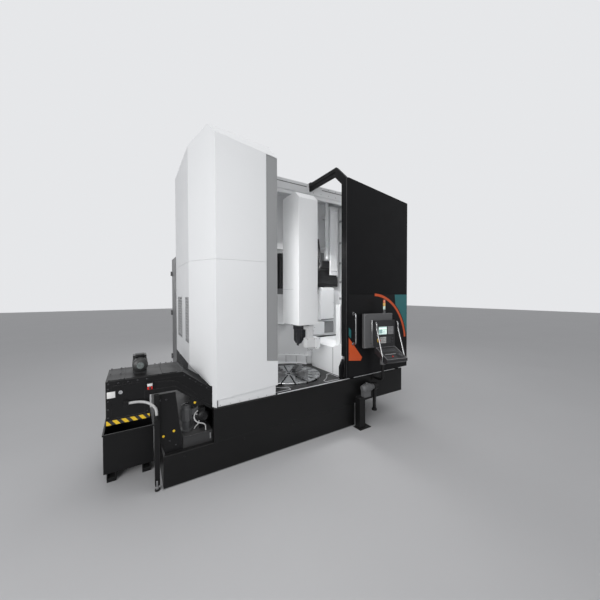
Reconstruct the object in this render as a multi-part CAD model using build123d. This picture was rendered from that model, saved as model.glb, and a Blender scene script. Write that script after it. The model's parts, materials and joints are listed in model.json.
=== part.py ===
from build123d import *
import math
import os

os.makedirs("parts", exist_ok=True)

# Vertical turning centre, in millimetres. The origin is on the floor under the table's axis,
# with X to the right along the front, Y into the machine and Z up.

# Clearances and sheet
slide_gap = 0.3
fit = 0.05
sheet = 20.0
thin_sheet = 6.0
seam = 3.0

# Main sizes, which the rest follows
table_r = 500.0
table_top_z = 779.0
cover_top_z = 4038.0

# Base
front_y = -table_r - 156.0
rear_y = 1500.0
lower_left_x = -1870.0
lower_right_x = 801.0
upper_left_x = -1347.0
upper_right_x = 1917.0
rim_z = table_top_z - 35.0
tier_z = rim_z - 392.0
rim_bevel = 10.0
sole_h = 14.0
sole_step = 12.0
channel_right_x = -table_r - 60.0

# Work floor around the table
tray_h = 10.0
tray_pocket_depth = 7.0
tray_pocket_arc = table_r + 110.0
tray_pocket_far_y = -300.0
tray_pocket_near_x = 300.0
tray_margin = 34.0
tray_left_reach = 300.0
opening_right_x = table_r + 140.0

# Turntable
table_h = 67.0
well_gap = 12.0
hub_r = 220.0
hub_depth = 170.0
bearing_in_r = 250.0
bearing_out_r = 340.0
slot_count = 16
slot_start_angle = 3.5
slot_neck_w = 22.0
slot_neck_h = 19.0
slot_tee_w = 36.0
slot_tee_h = 14.0
slot_in_r = 70.0
centre_bore_r = 30.0
centre_bore_depth = 60.0
rim_groove = 8.0

# Jaws, seated in every fourth slot
jaw_count = 4
jaw_slot = 1
jaw_in_r = 150.0
jaw_length = 180.0
jaw_w = 84.0
jaw_h = 91.0
jaw_step_h = 24.0
jaw_step_l = 52.0
jaw_bevel = 4.0

# Left cover
cover_left_x = -1535.0
cover_right_x = -table_r - 29.0
cover_fold_x = -1315.0
cover_fold_y = -232.0
cover_rear_y = 902.0
cover_crease_left_z = cover_top_z - 145.0
cover_crease_right_z = cover_top_z - 250.0
cover_shoulder_z = cover_top_z - 176.0
cover_shoulder_w = 186.0
cover_seam_z = 2456.0
cover_side_foot_z = 1179.0
cover_notch_x = -1367.0
cover_notch_z = 984.0
cover_foot_left_z = 830.0
cover_foot_right_z = 874.0
plinth_step = 23.0
strip_w = 154.0
strip_foot_z = 1185.0
strip_step = 8.0
strip_sheet = 4.0

# Vents in the cover's left wall
vent_starts_y = (-207.0, 316.0)
vent_widths = (250.0, 395.0)
vent_foot_z = 1439.0
vent_top_z = 2017.0
vent_slats = 14
vent_frame = 18.0
vent_sheet = 10.0

# Door, shown open at the right
door_left_x = opening_right_x - 31.0
door_right_x = door_left_x + 1410.0
door_front_y = front_y - 34.0
door_thick = 50.0
door_foot_z = rim_z + 31.0
door_top_left_z = cover_top_z - 235.0
door_top_right_z = cover_top_z - 393.0
door_seam_z = 2045.0
door_seam_w = 8.0
door_seam_d = 5.0
door_ribs = 4
door_rib_w = 30.0
door_rib_d = 26.0
door_rib_margin = 60.0
frame_w = 41.0
frame_band = 62.0
frame_rim = 128.0
frame_inset = 9.0
frame_apex_y = door_front_y + 249.0
frame_apex_z = cover_top_z - 2.0
frame_crease_z = frame_apex_z - 249.0
hook_h = 14.0
hook_l = 40.0
shoe_x = (door_left_x + 96.0, door_right_x - 274.0)
shoe_l = 70.0
handle_x = door_left_x + 131.0
handle_foot_z = 1250.0
handle_top_z = 1790.0
handle_r = 13.0
handle_reach = 62.0
handle_bend = 34.0
handle_foot = 40.0
handle_flange_h = 8.0

# Header rail and roof behind it
rail_y = 328.0
rail_depth = 44.0
rail_foot_z = cover_top_z - 248.0
rail_slot_z = rail_foot_z + 55.0
rail_slot_h = 14.0
rail_slot_depth = 8.0
roof_foot_z = cover_shoulder_z
roof_rear_y = cover_rear_y
roof_chamfer = 80.0
track_w = 12.0
track_h = 8.0

# Back wall with its boxes
wall_y = table_r + 140.0
wall_right_x = 1570.0
wall_foot_z = 1500.0
wall_low_foot_z = 1200.0
wall_low_x = 700.0
pipe_x = 1160.0
pipe_r = 36.0
pipe_y = wall_y - 120.0
pipe_foot_z = 2730.0
pipe_clip_rises = (220.0, 820.0)
pipe_clip_h = 40.0
panel_x = (1231.0, 1428.0)
panel_z = (2430.0, cover_top_z - 253.0)
panel_y = wall_y - 140.0
panel_slot_h = 26.0
panel_slot_inset = 24.0
panel_slot_end = 60.0
panel_groove = (90.0, 98.0)
magazine_x = (1033.0, 1351.0)
magazine_z = (1541.0, 2184.0)
magazine_y = wall_y - 100.0
small_box_x = (841.0, 1122.0)
small_box_z = (1262.0, 1500.0)
hatch_x = (1130.0, 1430.0)
hatch_z = (1255.0, 1500.0)
hatch_depth = 14.0

# Guards round the work area
ring_r = table_r + 265.0
ring_start = 34.0
ring_end = 214.0
ring_split_z = 906.0
ring_top_z = 1497.0
band_in = 22.0
band_foot_w = 30.0
band_foot_h = 14.0
band_seams = 11
band_seam_w = 4.0
guard_x = opening_right_x
guard_front_y = front_y + 96.0
guard_fold_y = guard_front_y + 250.0
guard_rear_y = table_r - 232.0
guard_ledge_z = 1190.0
guard_front_rise = 90.0
guard_slope = 60.0
guard_slope_w = 200.0
post_x = (700.0, 790.0)
post_y = (guard_fold_y - 130.0, guard_fold_y - 20.0)
post_top_z = 1880.0
foot_block_w = 58.0
foot_block_y = (front_y + 24.0, front_y + 76.0)
foot_block_low_z = 939.0
foot_block_high_z = 1056.0

# Right housing behind the open door
housing_front_y = front_y + 56.0
housing_top_z = cover_top_z - 498.0

# Column and crossrail
column_x = (cover_right_x + 49.0, 1180.0)
column_y = wall_y + 150.0
column_rear_y = 1440.0
column_top_z = cover_top_z - 198.0
column_rows = (1050.0, 1750.0, 2450.0, 3150.0)
column_web = 120.0
column_pocket_r = 50.0
column_nose_z = (2050.0, 2880.0)
column_pocket_w = 460.0
column_pocket_h = 560.0
column_pocket_d = 120.0
rail_beam_x = (column_x[0] - 80.0, 1468.0)
beam_front_y = wall_y - 80.0
beam_h = 516.0
beam_foot_z = 2200.0
beam_top_z = beam_foot_z + beam_h
beam_groove = 60.0
way_w = 60.0
way_h = 30.0
way_inset = 70.0

# Saddle, ram and cover
ram_x = 211.5
cover_half_w = 174.5
cover_front_y = -256.0
cover_back_y = beam_front_y - 300.0
cover_foot_z = 1568.0
ram_cover_top_z = 3639.0
ram_cover_bevel = 109.0
ram_cover_sheet = 8.0
ram_cover_seam_z = 2090.0
saddle_left = 151.0
saddle_right = 330.0
saddle_front_y = beam_front_y - 160.0
saddle_foot_z = beam_foot_z - 50.0
saddle_top_z = beam_top_z + 50.0
saddle_neck_in = 60.0
ram_side = 210.0
ram_foot_z = 1540.0
ram_top_z = 3050.0
quill_housing_side = 300.0
quill_housing_foot_z = 1640.0
quill_housing_top_z = 3100.0
chain_w = 90.0
chain_thick = 46.0
chain_y = saddle_front_y - 50.0
chain_drop = 310.0
chain_run = 150.0
chain_reach = 330.0
chain_bends = (90.0, 110.0, 120.0)

# Tool
holder_w = 176.0
holder_d = 120.0
holder_collar_h = 62.0
holder_knee_z = 1300.0
tool_tip_x = 172.0
tool_tip_z = 1205.0
insert_side = 16.0
nozzle_x = (217.0, 380.0)
nozzle_y = (-200.0, -100.0)
nozzle_z = (1188.0, 1346.0)
nozzle_bracket_x = (270.0, 333.0)
nozzle_guard_w = 92.0

# Right door pump
pump_stand_x = (780.0, 890.0)
pump_stand_y = (-800.0, -700.0)
pump_stand_h = 460.0
pump_shelf_l = 150.0
pump_shelf_h = 30.0
pump_plate_h = 10.0
pump_plate = (760.0, 985.0)
pump_axis_z = 590.0
pump_axis_y = -755.0
pump_motor_r = 62.0
pump_motor_x = (866.0, 1100.0)

# Operator's pendant, given about its pole
pole_x = 1226.0
pole_y = -840.0
pole_r = 21.0
pole_foot_z = 690.0
pole_bend = 60.0
pole_flange_r = 55.0
pole_flange_h = 14.0
sleeve_foot_z = 940.0
pole_top_z = 1190.0
pendant_yaw = 10.0
pendant_back = (-343.0, 190.0)
pendant_back_z = (1215.0, 1745.0)
pendant_back_v = (-60.0, 4.0)
screen_u = (-160.0, 200.0)
screen_z = (1240.0, 1640.0)
screen_v = 45.0
screen_bevel = 22.0
shelf_w = 374.0
shelf_front_v = 315.0
shelf_front_z = 1090.0
shelf_back_z = 1225.0
shelf_thick = 62.0
shelf_lug = 30.0
pendant_rail_r = 11.0
light_u = 50.0
light_r = 19.0
light_z = (1745.0, 1964.0)
panel_recess = 3.0
display_u = (-110.0, 50.0)
display_z = (1415.0, 1545.0)
keys_u = (62.0, 176.0)
buttons_u = (-136.0, 176.0)
buttons_z = (1278.0, 1385.0)
estop_u = -110.0
estop_z = 1332.0
estop_r = 20.0
estop_head_h = 14.0
estop_lift = 12.0
estop_seat = 10.0
estop_travel = 6.0

# Conveyor at the left end
conveyor_near_y = front_y + 66.0
conveyor_w = 520.0
conveyor_wall = 12.0
conveyor_left_x = -2357.0
head_right_x = -1984.0
head_foot_z = 790.0
trough_top_z = 1203.0
trough_hump_x = -1665.0
trough_slope_x = -1370.0
trough_slope_z = 972.0
trough_depth = 190.0
trough_low_z = 560.0
trough_end_x = channel_right_x - 80.0
drum_r = 95.0
drum_shaft_r = 18.0
drum_z = 1085.0
drum_x = -2235.0
lid_w = 18.0
leg_x = (-1947.0, -1900.0)
leg_y = conveyor_near_y - 50.0
leg_top_z = 1006.0
foot_r = 26.0
foot_h = 60.0
brace_top_x = (-1935.0, -1800.0)
brace_foot_x = (-1847.0, -1671.0)
brace_top_z = 996.0
brace_thick = 8.0
motor_r = 72.0
motor_x = -2063.0
motor_set_back = 90.0
motor_cowl_l = 80.0
motor_l = 230.0
gearbox_l = 110.0
gearbox_half_w = 66.0
bin_x = (-2413.0, -1935.0)
bin_y = (-230.0, 330.0)
bin_foot_z = 110.0
bin_top_z = 540.0
bin_wall = 8.0
skid_w = 90.0
skid_h = 70.0
tank_x = (-1664.0, -1352.0)
tank_y = (conveyor_near_y, conveyor_near_y + 470.0)
tank_top_z = 480.0
tank_rim_h = 6.0
tank_rim_w = 8.0
pump_at = (-1606.0, conveyor_near_y + 160.0)
pump_r = 62.0
pump_h = 304.0
pump_fins = 12
filter_at = (-1440.0, conveyor_near_y + 30.0, tank_top_z + 160.0)
filter_r = 62.0
filter_l = 220.0
switch_x = (-2010.0, -1955.0)
switch_z = (1072.0, 1140.0)

# Electrical cabinet at the rear
cabinet_x = (-1535.0, -560.0)
cabinet_y = (930.0, 1400.0)
cabinet_top_z = 2650.0
cabinet_door_h = 24.0
cabinet_pin_r = 8.0
hinge_h = 40.0
cabinet_handle_z = 1600.0

# Cords, as routes chosen by hand
conduit_r = 14.0
conduit_route = [
    (-2170.0, conveyor_near_y - 16.0, 968.0),
    (-2118.0, conveyor_near_y - 16.0, 968.0),
    (-2056.0, conveyor_near_y - 24.0, 963.0),
    (-2000.0, conveyor_near_y - 46.0, 947.0),
    (-1955.0, conveyor_near_y - 64.0, 913.0),
    (-1926.0, conveyor_near_y - 66.0, 863.0),
    (-1926.0, conveyor_near_y - 66.0, 807.0),
]
hose_r = 7.0
hose_route = [
    (-1498.0, conveyor_near_y + 62.0, tank_top_z + 232.0),
    (-1522.0, conveyor_near_y + 54.0, tank_top_z + 220.0),
    (-1543.0, conveyor_near_y + 37.0, tank_top_z + 199.0),
    (-1548.0, conveyor_near_y + 12.0, tank_top_z + 170.0),
    (-1530.0, conveyor_near_y - 4.0, tank_top_z + 138.0),
    (-1494.0, conveyor_near_y - 8.0, tank_top_z + 116.0),
    (-1452.0, conveyor_near_y - 6.0, tank_top_z + 102.0),
    (-1426.0, conveyor_near_y, tank_top_z + 72.0),
    (-1424.0, conveyor_near_y + 7.0, tank_top_z + 34.0),
    (-1424.0, conveyor_near_y + 7.0, tank_top_z + 14.0),
]


def block(x, y, z):
    """Box between two values on each axis."""
    size = (x[1] - x[0], y[1] - y[0], z[1] - z[0])
    return Pos((x[0] + x[1]) / 2, (y[0] + y[1]) / 2, (z[0] + z[1]) / 2) * Box(*size)


def prism_x(outline, x0, x1):
    """Outline in Y and Z, drawn out along X."""
    wire = Polyline(*[(x0, y, z) for y, z in outline], close=True)
    return extrude(make_face(wire), amount=x1 - x0, dir=(1, 0, 0))


def prism_y(outline, y0, y1):
    """Outline in X and Z, drawn out along Y."""
    wire = Polyline(*[(x, y0, z) for x, z in outline], close=True)
    return extrude(make_face(wire), amount=y1 - y0, dir=(0, 1, 0))


def prism_z(outline, z0, z1):
    """Outline in X and Y, drawn out along Z."""
    wire = Polyline(*[(x, y, z0) for x, y in outline], close=True)
    return extrude(make_face(wire), amount=z1 - z0, dir=(0, 0, 1))


def rod(start, direction, radius, length):
    """Round bar from a point along a direction."""
    frame = Plane(origin=start, z_dir=direction)
    return frame * Cylinder(radius, length, align=(Align.CENTER, Align.CENTER, Align.MIN))


def bevel(solid, length, test):
    """Chamfer on the edges whose centre passes the test."""
    edges = [edge for edge in solid.edges() if test(edge.center())]
    return chamfer(edges, length)


def tube_along(points, radii, radius):
    """Round tube along straight runs joined by arcs."""
    path = FilletPolyline(*points, radius=radii)
    section = Plane(origin=path @ 0, z_dir=path % 0) * Circle(radius)
    return sweep(section, path=path)


def bend_radii(points):
    """Largest arc at each corner that its two runs leave room for."""
    radii = []
    for before, here, after in zip(points, points[1:], points[2:]):
        a = Vector(*here) - Vector(*before)
        b = Vector(*after) - Vector(*here)
        turn = math.radians(a.get_angle(b))
        radii.append(0.45 * min(a.length, b.length) / math.tan(turn / 2))
    return radii


# Base

def lower_base():
    """Lower tier on its set-back sole."""
    body = block((lower_left_x, lower_right_x), (front_y, rear_y), (sole_h, tier_z))
    body = bevel(body, rim_bevel / 2, lambda c: abs(c.Z - tier_z) < 1 and c.Y < front_y + 1)
    x = (lower_left_x + sole_step, lower_right_x - sole_step)
    return body + block(x, (front_y + sole_step, rear_y - sole_step), (0, sole_h))


def upper_base():
    body = block((upper_left_x, upper_right_x), (front_y, rear_y), (tier_z, rim_z))
    body = bevel(body, rim_bevel, lambda c: abs(c.Z - rim_z) < 1 and c.Y < front_y + 1)
    channel_y = (conveyor_near_y - slide_gap, conveyor_near_y + conveyor_w + slide_gap)
    channel_x = (upper_left_x - 1, channel_right_x)
    body -= block(channel_x, channel_y, (trough_low_z - trough_depth, rim_z + 1))
    well_z = table_top_z - table_h - well_gap
    body -= rod((0, 0, well_z), (0, 0, 1), table_r + well_gap, rim_z - well_z + 1)
    body -= rod((0, 0, well_z - hub_depth), (0, 0, 1), hub_r + fit, hub_depth + 1)
    return body


def work_floor_outline(margin):
    """Front part of the tray between the rim and the guards, less a margin."""
    x = (cover_right_x - tray_left_reach + margin, opening_right_x - margin)
    y = (front_y + plinth_step + thin_sheet + margin, 0)
    return x, y


def work_floor():
    x, y = work_floor_outline(0)
    z = (rim_z, rim_z + tray_h)
    body = block((x[0], x[1]), (y[0], ring_r - 60), z)
    body -= rod((0, 0, rim_z - 1), (0, 0, 1), table_r + well_gap, tray_h + 2)
    channel_y = (conveyor_near_y - slide_gap, conveyor_near_y + conveyor_w + slide_gap)
    body -= block((x[0] - 1, channel_right_x), channel_y, (rim_z - 1, rim_z + tray_h + 1))
    for pocket in tray_pockets():
        body -= Pos(0, 0, rim_z + tray_h - tray_pocket_depth) * extrude(pocket, tray_h)
    return body


def tray_pockets():
    """Two pockets in front of the table, left and right."""
    x, y = work_floor_outline(tray_margin)
    centre = Pos((x[0] + x[1]) / 2, (y[0] + tray_pocket_far_y) / 2)
    bay = centre * Rectangle(x[1] - x[0], tray_pocket_far_y - y[0])
    keep_off = Circle(tray_pocket_arc)
    middle = Rectangle(2 * tray_pocket_near_x, 4 * table_r)
    faces = (bay - keep_off - middle).faces()
    return [Sketch() + face for face in faces]


# Turntable with radial T-slots

def table_bearing():
    well_z = table_top_z - table_h - well_gap
    height = well_gap - slide_gap
    ring = rod((0, 0, well_z), (0, 0, 1), bearing_out_r, height)
    return ring - rod((0, 0, well_z - 1), (0, 0, 1), bearing_in_r, height + 2)


def slot_cutter(neck_w, neck_h, tee_w, tee_h, r0, r1, cut_above):
    """Bar with the T section of a slot, along X from r0 to r1, below the table's top."""
    neck = block((r0, r1), (-neck_w / 2, neck_w / 2), (table_top_z - neck_h, table_top_z + cut_above))
    tee_z = table_top_z - neck_h - tee_h
    tee = block((r0, r1), (-tee_w / 2, tee_w / 2), (tee_z, table_top_z - neck_h))
    return neck + tee


def turntable():
    foot_z = table_top_z - table_h
    profile = [
        (0, foot_z - hub_depth + slide_gap),
        (hub_r, foot_z - hub_depth + slide_gap),
        (hub_r, foot_z),
        (table_r - 2 * rim_groove, foot_z),
        (table_r, foot_z + rim_groove),
        (table_r, foot_z + 2 * rim_groove),
        (table_r - rim_groove, foot_z + 2.4 * rim_groove),
        (table_r - rim_groove, foot_z + 3.2 * rim_groove),
        (table_r, foot_z + 3.6 * rim_groove),
        (table_r, table_top_z - rim_groove / 2),
        (table_r - rim_groove / 2, table_top_z),
        (0, table_top_z),
    ]
    wire = Polyline(*[(r, 0, z) for r, z in profile], close=True)
    body = revolve(make_face(wire), Axis.Z)
    bar = slot_cutter(slot_neck_w, slot_neck_h, slot_tee_w, slot_tee_h, slot_in_r, table_r + 1, 1)
    for step in range(slot_count):
        body -= Rot(0, 0, slot_start_angle + step * 360 / slot_count) * bar
    body -= rod((0, 0, table_top_z - centre_bore_depth), (0, 0, 1), centre_bore_r, centre_bore_depth + 1)
    return body


def jaw(index):
    """Stepped jaw with its tongue in a T-slot."""
    r1 = jaw_in_r + jaw_length
    z0 = table_top_z + slide_gap
    steps = [(jaw_in_r, z0)]
    for step in range(3):
        r = jaw_in_r + step * jaw_step_l
        steps.append((r, table_top_z + jaw_h - (2 - step) * jaw_step_h))
        if step < 2:
            steps.append((r + jaw_step_l, table_top_z + jaw_h - (2 - step) * jaw_step_h))
    steps += [(r1, table_top_z + jaw_h), (r1, z0)]
    body = prism_y(steps, -jaw_w / 2, jaw_w / 2)
    top = table_top_z + jaw_h
    body = bevel(body, jaw_bevel, lambda c: abs(c.Z - top) < 1 and abs(c.Y) > jaw_w / 2 - 1)
    for r in (jaw_in_r + 0.5 * jaw_step_l, r1 - 0.4 * jaw_step_l):
        seat_z = top - jaw_step_h * (2.4 if r < jaw_in_r + jaw_step_l else 0.4)
        body -= rod((r, 0, seat_z), (0, 0, 1), slot_neck_w / 2, jaw_h)
    neck = slot_neck_w - 2 * slide_gap
    tee = slot_tee_w - 2 * slide_gap
    tongue = slot_cutter(
        neck, slot_neck_h + slide_gap, tee, slot_tee_h - 2 * slide_gap,
        jaw_in_r + jaw_bevel, r1 - jaw_bevel, slide_gap,
    )
    turn = slot_start_angle + (jaw_slot + index * slot_count / jaw_count) * 360 / slot_count
    return Rot(0, 0, turn) * (body + tongue)


# Left cover, two folded shells

def cover_planes():
    """Slanted faces at the top front and the top left, facing outwards."""
    corner = Vector(cover_fold_x, front_y, cover_crease_left_z)
    along = Vector(cover_right_x, front_y, cover_crease_right_z) - corner
    inward = Vector(0, cover_top_z - cover_crease_left_z, cover_top_z - cover_crease_left_z)
    front = Plane(origin=corner, z_dir=along.cross(inward))
    rise = cover_top_z - cover_shoulder_z
    left = Plane(origin=(cover_left_x, 0, cover_shoulder_z), z_dir=(-rise, 0, cover_shoulder_w))
    return front, left


def cover_plan(inset, right_x):
    """Plan of the cover, moved inwards all round except at its open right end."""
    corners = [
        (cover_fold_x, front_y),
        (right_x + inset, front_y),
        (right_x + inset, cover_rear_y),
        (cover_left_x, cover_rear_y),
        (cover_left_x, cover_fold_y),
    ]
    face = make_face(Polyline(*corners, close=True))
    return offset(face, -inset, kind=Kind.INTERSECTION) if inset else face


def cover_form(inset, right_x):
    body = extrude(cover_plan(inset, right_x), cover_top_z - inset)
    for plane in cover_planes():
        body = split(body, bisect_by=plane.offset(-inset), keep=Keep.BOTTOM)
    return body


def cover_shell():
    body = cover_form(0, cover_right_x) - cover_form(sheet, cover_right_x + 2 * sheet)
    low = rim_z
    body -= block((cover_left_x - 1, cover_right_x + 1), (front_y - 1, cover_rear_y + 1), (-1, low))
    side = [
        (cover_left_x - 1, low - 1),
        (cover_left_x - 1, cover_side_foot_z),
        (cover_left_x, cover_side_foot_z),
        (cover_notch_x, cover_notch_z),
        (cover_notch_x, low - 1),
    ]
    body -= prism_y(side, front_y - 1, cover_rear_y + 1)
    foot = [
        (cover_fold_x, low - 1),
        (cover_fold_x, cover_foot_left_z),
        (cover_right_x + 1, cover_foot_right_z),
        (cover_right_x + 1, low - 1),
    ]
    body -= prism_y(foot, front_y - 1, front_y + sheet + 1)
    past_y = (conveyor_near_y - slide_gap, 0)
    body -= block((cover_left_x - 1, cover_fold_x + sheet), past_y, (low - 1, cover_notch_z))
    return body - strip_recess()


def strip_outline(inset):
    """Band at the cover's right edge, from its sloping foot to the crease at the top."""
    slope = (cover_crease_right_z - cover_crease_left_z) / (cover_right_x - cover_fold_x)
    x0 = cover_right_x - strip_w + inset
    x1 = cover_right_x
    fall = slope * (x0 - x1)
    return [
        (x0, strip_foot_z + fall + inset),
        (x0, cover_crease_right_z + fall - inset),
        (x1, cover_crease_right_z - inset),
        (x1, strip_foot_z + inset),
    ]


def strip_recess():
    return prism_y(strip_outline(0), front_y - 1, front_y + strip_step + strip_sheet)


def corner_strip():
    return prism_y(strip_outline(seam / 2), front_y + strip_step, front_y + strip_step + strip_sheet)


def cover_seam_ring():
    """Shallow groove round the outside where the two shells meet."""
    z = (cover_seam_z - seam / 2, cover_seam_z + seam / 2)
    slab = block((cover_left_x - 9, cover_right_x + 9), (front_y - 9, cover_rear_y + 9), z)
    return slab - cover_form(seam, cover_right_x + 2 * seam)


def cover_part(z):
    slab = block((cover_left_x - 1, cover_right_x + 1), (front_y - 1, cover_rear_y + 1), z)
    return (cover_shell() & slab) - cover_seam_ring()


def vent_places():
    return list(zip(vent_starts_y, vent_widths))


def cover_lower():
    body = cover_part((rim_z, cover_seam_z))
    for y, width in vent_places():
        x = (cover_left_x - 1, cover_left_x + vent_sheet)
        body -= block(x, (y, y + width), (vent_foot_z, vent_top_z))
        x = (cover_left_x, cover_left_x + sheet + 1)
        hole = (y + vent_frame, y + width - vent_frame)
        body -= block(x, hole, (vent_foot_z + vent_frame, vent_top_z - vent_frame))
    return body


def cover_upper():
    return cover_part((cover_seam_z, cover_top_z + 1))


def vent_louvres():
    """Frames with slanted slats, seated in the left wall."""
    parts = []
    for y, width in vent_places():
        x = (cover_left_x, cover_left_x + vent_sheet)
        frame = block(x, (y, y + width), (vent_foot_z, vent_top_z))
        hole_y = (y + vent_frame, y + width - vent_frame)
        hole_z = (vent_foot_z + vent_frame, vent_top_z - vent_frame)
        frame -= block((x[0] - 1, x[1] + 1), hole_y, hole_z)
        pitch = (hole_z[1] - hole_z[0]) / (vent_slats + 0.4)
        for step in range(vent_slats):
            z = hole_z[0] + (step + 0.2) * pitch
            slat = [(x[1], z + 0.35 * pitch), (x[1], z + pitch), (x[0], z + 0.6 * pitch), (x[0], z)]
            frame += prism_y(slat, hole_y[0], hole_y[1])
        parts += frame.solids()
    return Compound(children=parts)


def cover_plinth():
    """Recessed kick plate below the cover's front."""
    y = front_y + plinth_step
    outline = [
        (cover_fold_x + sheet, rim_z),
        (cover_fold_x + sheet, cover_foot_left_z + sheet),
        (cover_right_x - plinth_step, cover_foot_right_z + sheet),
        (cover_right_x - plinth_step, rim_z),
    ]
    return prism_y(outline, y, y + thin_sheet)


# Roof, header rail and back wall

def door_guide_rail():
    y = (rail_y, rail_y + rail_depth)
    body = block((cover_right_x, upper_right_x), y, (rail_foot_z, cover_top_z))
    slot_y = (rail_y - 1, rail_y + rail_slot_depth)
    body -= block((cover_right_x - 1, upper_right_x + 1), slot_y, (rail_slot_z, rail_slot_z + rail_slot_h))
    return body


def rear_roof():
    outline = [
        (rail_y + rail_depth, roof_foot_z),
        (rail_y + rail_depth, cover_top_z - sheet),
        (roof_rear_y - roof_chamfer, cover_top_z - sheet),
        (roof_rear_y, cover_top_z - sheet - roof_chamfer),
        (roof_rear_y, roof_foot_z),
    ]
    return prism_x(outline, cover_right_x, upper_right_x)


def door_rails():
    """Header rail above and low track below that guide the door."""
    return Compound(children=door_guide_rail().solids() + lower_track().solids())


def lower_track():
    y = (front_y + rim_bevel, front_y + rim_bevel + track_w)
    return block((cover_right_x, upper_right_x), y, (rim_z, rim_z + track_h))


def back_wall():
    outline = [
        (cover_right_x, wall_foot_z),
        (cover_right_x, roof_foot_z),
        (wall_right_x, roof_foot_z),
        (wall_right_x, wall_low_foot_z),
        (wall_low_x, wall_low_foot_z),
        (wall_low_x, wall_foot_z),
    ]
    body = prism_y(outline, wall_y, wall_y + sheet)
    body -= block((column_x[0], column_x[1]), (wall_y - 1, wall_y + sheet + 1), column_nose_z)
    return body - block(hatch_x, (wall_y - 1, wall_y + hatch_depth), hatch_z)


def wall_pipe():
    """Upright service pipe held by two clips on the wall."""
    body = rod((pipe_x, pipe_y, pipe_foot_z), (0, 0, 1), pipe_r, rail_foot_z + 60 - pipe_foot_z)
    for rise in pipe_clip_rises:
        z = (pipe_foot_z + rise, pipe_foot_z + rise + pipe_clip_h)
        body += block((pipe_x - pipe_r, pipe_x + pipe_r), (pipe_y, wall_y), z)
    return body


def slotted_panel():
    body = block(panel_x, (panel_y, wall_y), panel_z)
    body = bevel(body, 12, lambda c: c.Y < panel_y + 1 and abs(c.X - sum(panel_x) / 2) > 60)
    inset = panel_slot_inset
    end = panel_slot_end
    for z in (panel_z[0] + end, panel_z[1] - end - panel_slot_h):
        slot_x = (panel_x[0] + inset, panel_x[1] - inset)
        body -= block(slot_x, (panel_y - 1, panel_y + inset), (z, z + panel_slot_h))
    groove_x = (panel_x[0] + panel_groove[0], panel_x[0] + panel_groove[1])
    body -= block(groove_x, (panel_y - 1, panel_y + thin_sheet), (panel_z[0] + 2 * end, panel_z[1] - 2 * end))
    beam_y = (beam_front_y - way_h - slide_gap, wall_y + 1)
    return body - block(rail_beam_x, beam_y, (beam_foot_z - 1, beam_top_z + slide_gap))


def magazine_cover():
    body = block(magazine_x, (magazine_y, wall_y), magazine_z)
    x, top = magazine_x[0], magazine_z[1]
    return bevel(body, 16, lambda c: c.Y < magazine_y + 1 and (abs(c.Z - top) < 1 or abs(c.X - x) < 1))


def small_box():
    body = block(small_box_x, (magazine_y, wall_y), small_box_z)
    return bevel(body, 10, lambda c: c.Y < magazine_y + 1 and c.Z > small_box_z[0] + 1)


def magazine_covers():
    return Compound(children=magazine_cover().solids() + small_box().solids())


def wall_services():
    return Compound(children=wall_pipe().solids() + slotted_panel().solids())


# Guards

def ring_wall(r_in, r_out, z0, z1, start, end):
    """Part of a cylinder wall round the table's axis."""
    a, b = math.radians(start), math.radians(end)
    mid = (a + b) / 2
    outer = ThreePointArc(
        (r_out * math.cos(a), r_out * math.sin(a)),
        (r_out * math.cos(mid), r_out * math.sin(mid)),
        (r_out * math.cos(b), r_out * math.sin(b)),
    )
    inner = ThreePointArc(
        (r_in * math.cos(b), r_in * math.sin(b)),
        (r_in * math.cos(mid), r_in * math.sin(mid)),
        (r_in * math.cos(a), r_in * math.sin(a)),
    )
    ends = [Line(outer @ 1, inner @ 0), Line(inner @ 1, outer @ 0)]
    face = make_face([outer, ends[0], inner, ends[1]])
    return Pos(0, 0, z0) * extrude(face, z1 - z0)


def guard_hoop():
    upper = ring_wall(ring_r, ring_r + thin_sheet, ring_split_z, ring_top_z, ring_start, ring_end)
    lip = ring_wall(ring_r - band_in, ring_r, ring_split_z, ring_split_z + thin_sheet, ring_start, ring_end)
    return upper + lip


def guard_band():
    r = ring_r - band_in
    band = ring_wall(r, r + thin_sheet, rim_z + tray_h, ring_split_z, ring_start, ring_end)
    foot_z = rim_z + tray_h
    band += ring_wall(r - band_foot_w, r, foot_z, foot_z + band_foot_h, ring_start, ring_end)
    pitch = (ring_end - ring_start) / (band_seams + 1)
    for step in range(band_seams):
        cut = block((r - 1, r + 2), (-band_seam_w / 2, band_seam_w / 2), (rim_z + 30, ring_split_z - 6))
        band -= Rot(0, 0, ring_start + (step + 1) * pitch) * cut
    return band


def guard_ring():
    """Upper hoop and seamed lower band behind the table."""
    return Compound(children=guard_hoop().solids() + guard_band().solids())


def guard_section(y, rise, right_x):
    """Section of the right guard: a wall with a ledge that climbs away from the table."""
    z = guard_ledge_z + rise
    points = [
        (guard_x, y, rim_z + tray_h),
        (guard_x, y, z),
        (guard_x + guard_slope_w, y, z + guard_slope),
        (right_x, y, z + guard_slope),
        (right_x, y, rim_z + tray_h),
    ]
    return make_face(Polyline(*points, close=True))


def guard_right():
    x1 = wall_right_x
    rear = extrude(guard_section(guard_fold_y, 0, x1), amount=guard_rear_y - guard_fold_y, dir=(0, 1, 0))
    front = loft([guard_section(guard_front_y, guard_front_rise, x1), guard_section(guard_fold_y, 0, x1)])
    behind_x = guard_x + guard_slope_w
    wedge = [
        (guard_x, guard_rear_y),
        (behind_x, wall_y),
        (x1, wall_y),
        (x1, guard_rear_y),
    ]
    back = prism_z(wedge, rim_z + tray_h, guard_ledge_z)
    body = rear + front + back
    groove_y = (guard_fold_y - seam / 2, guard_fold_y + seam / 2)
    groove = block((guard_x - 1, guard_x + seam), groove_y, (rim_z + 2 * sheet, guard_ledge_z - seam))
    post = block(post_x, post_y, (guard_ledge_z, post_top_z))
    return body + post - groove


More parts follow.
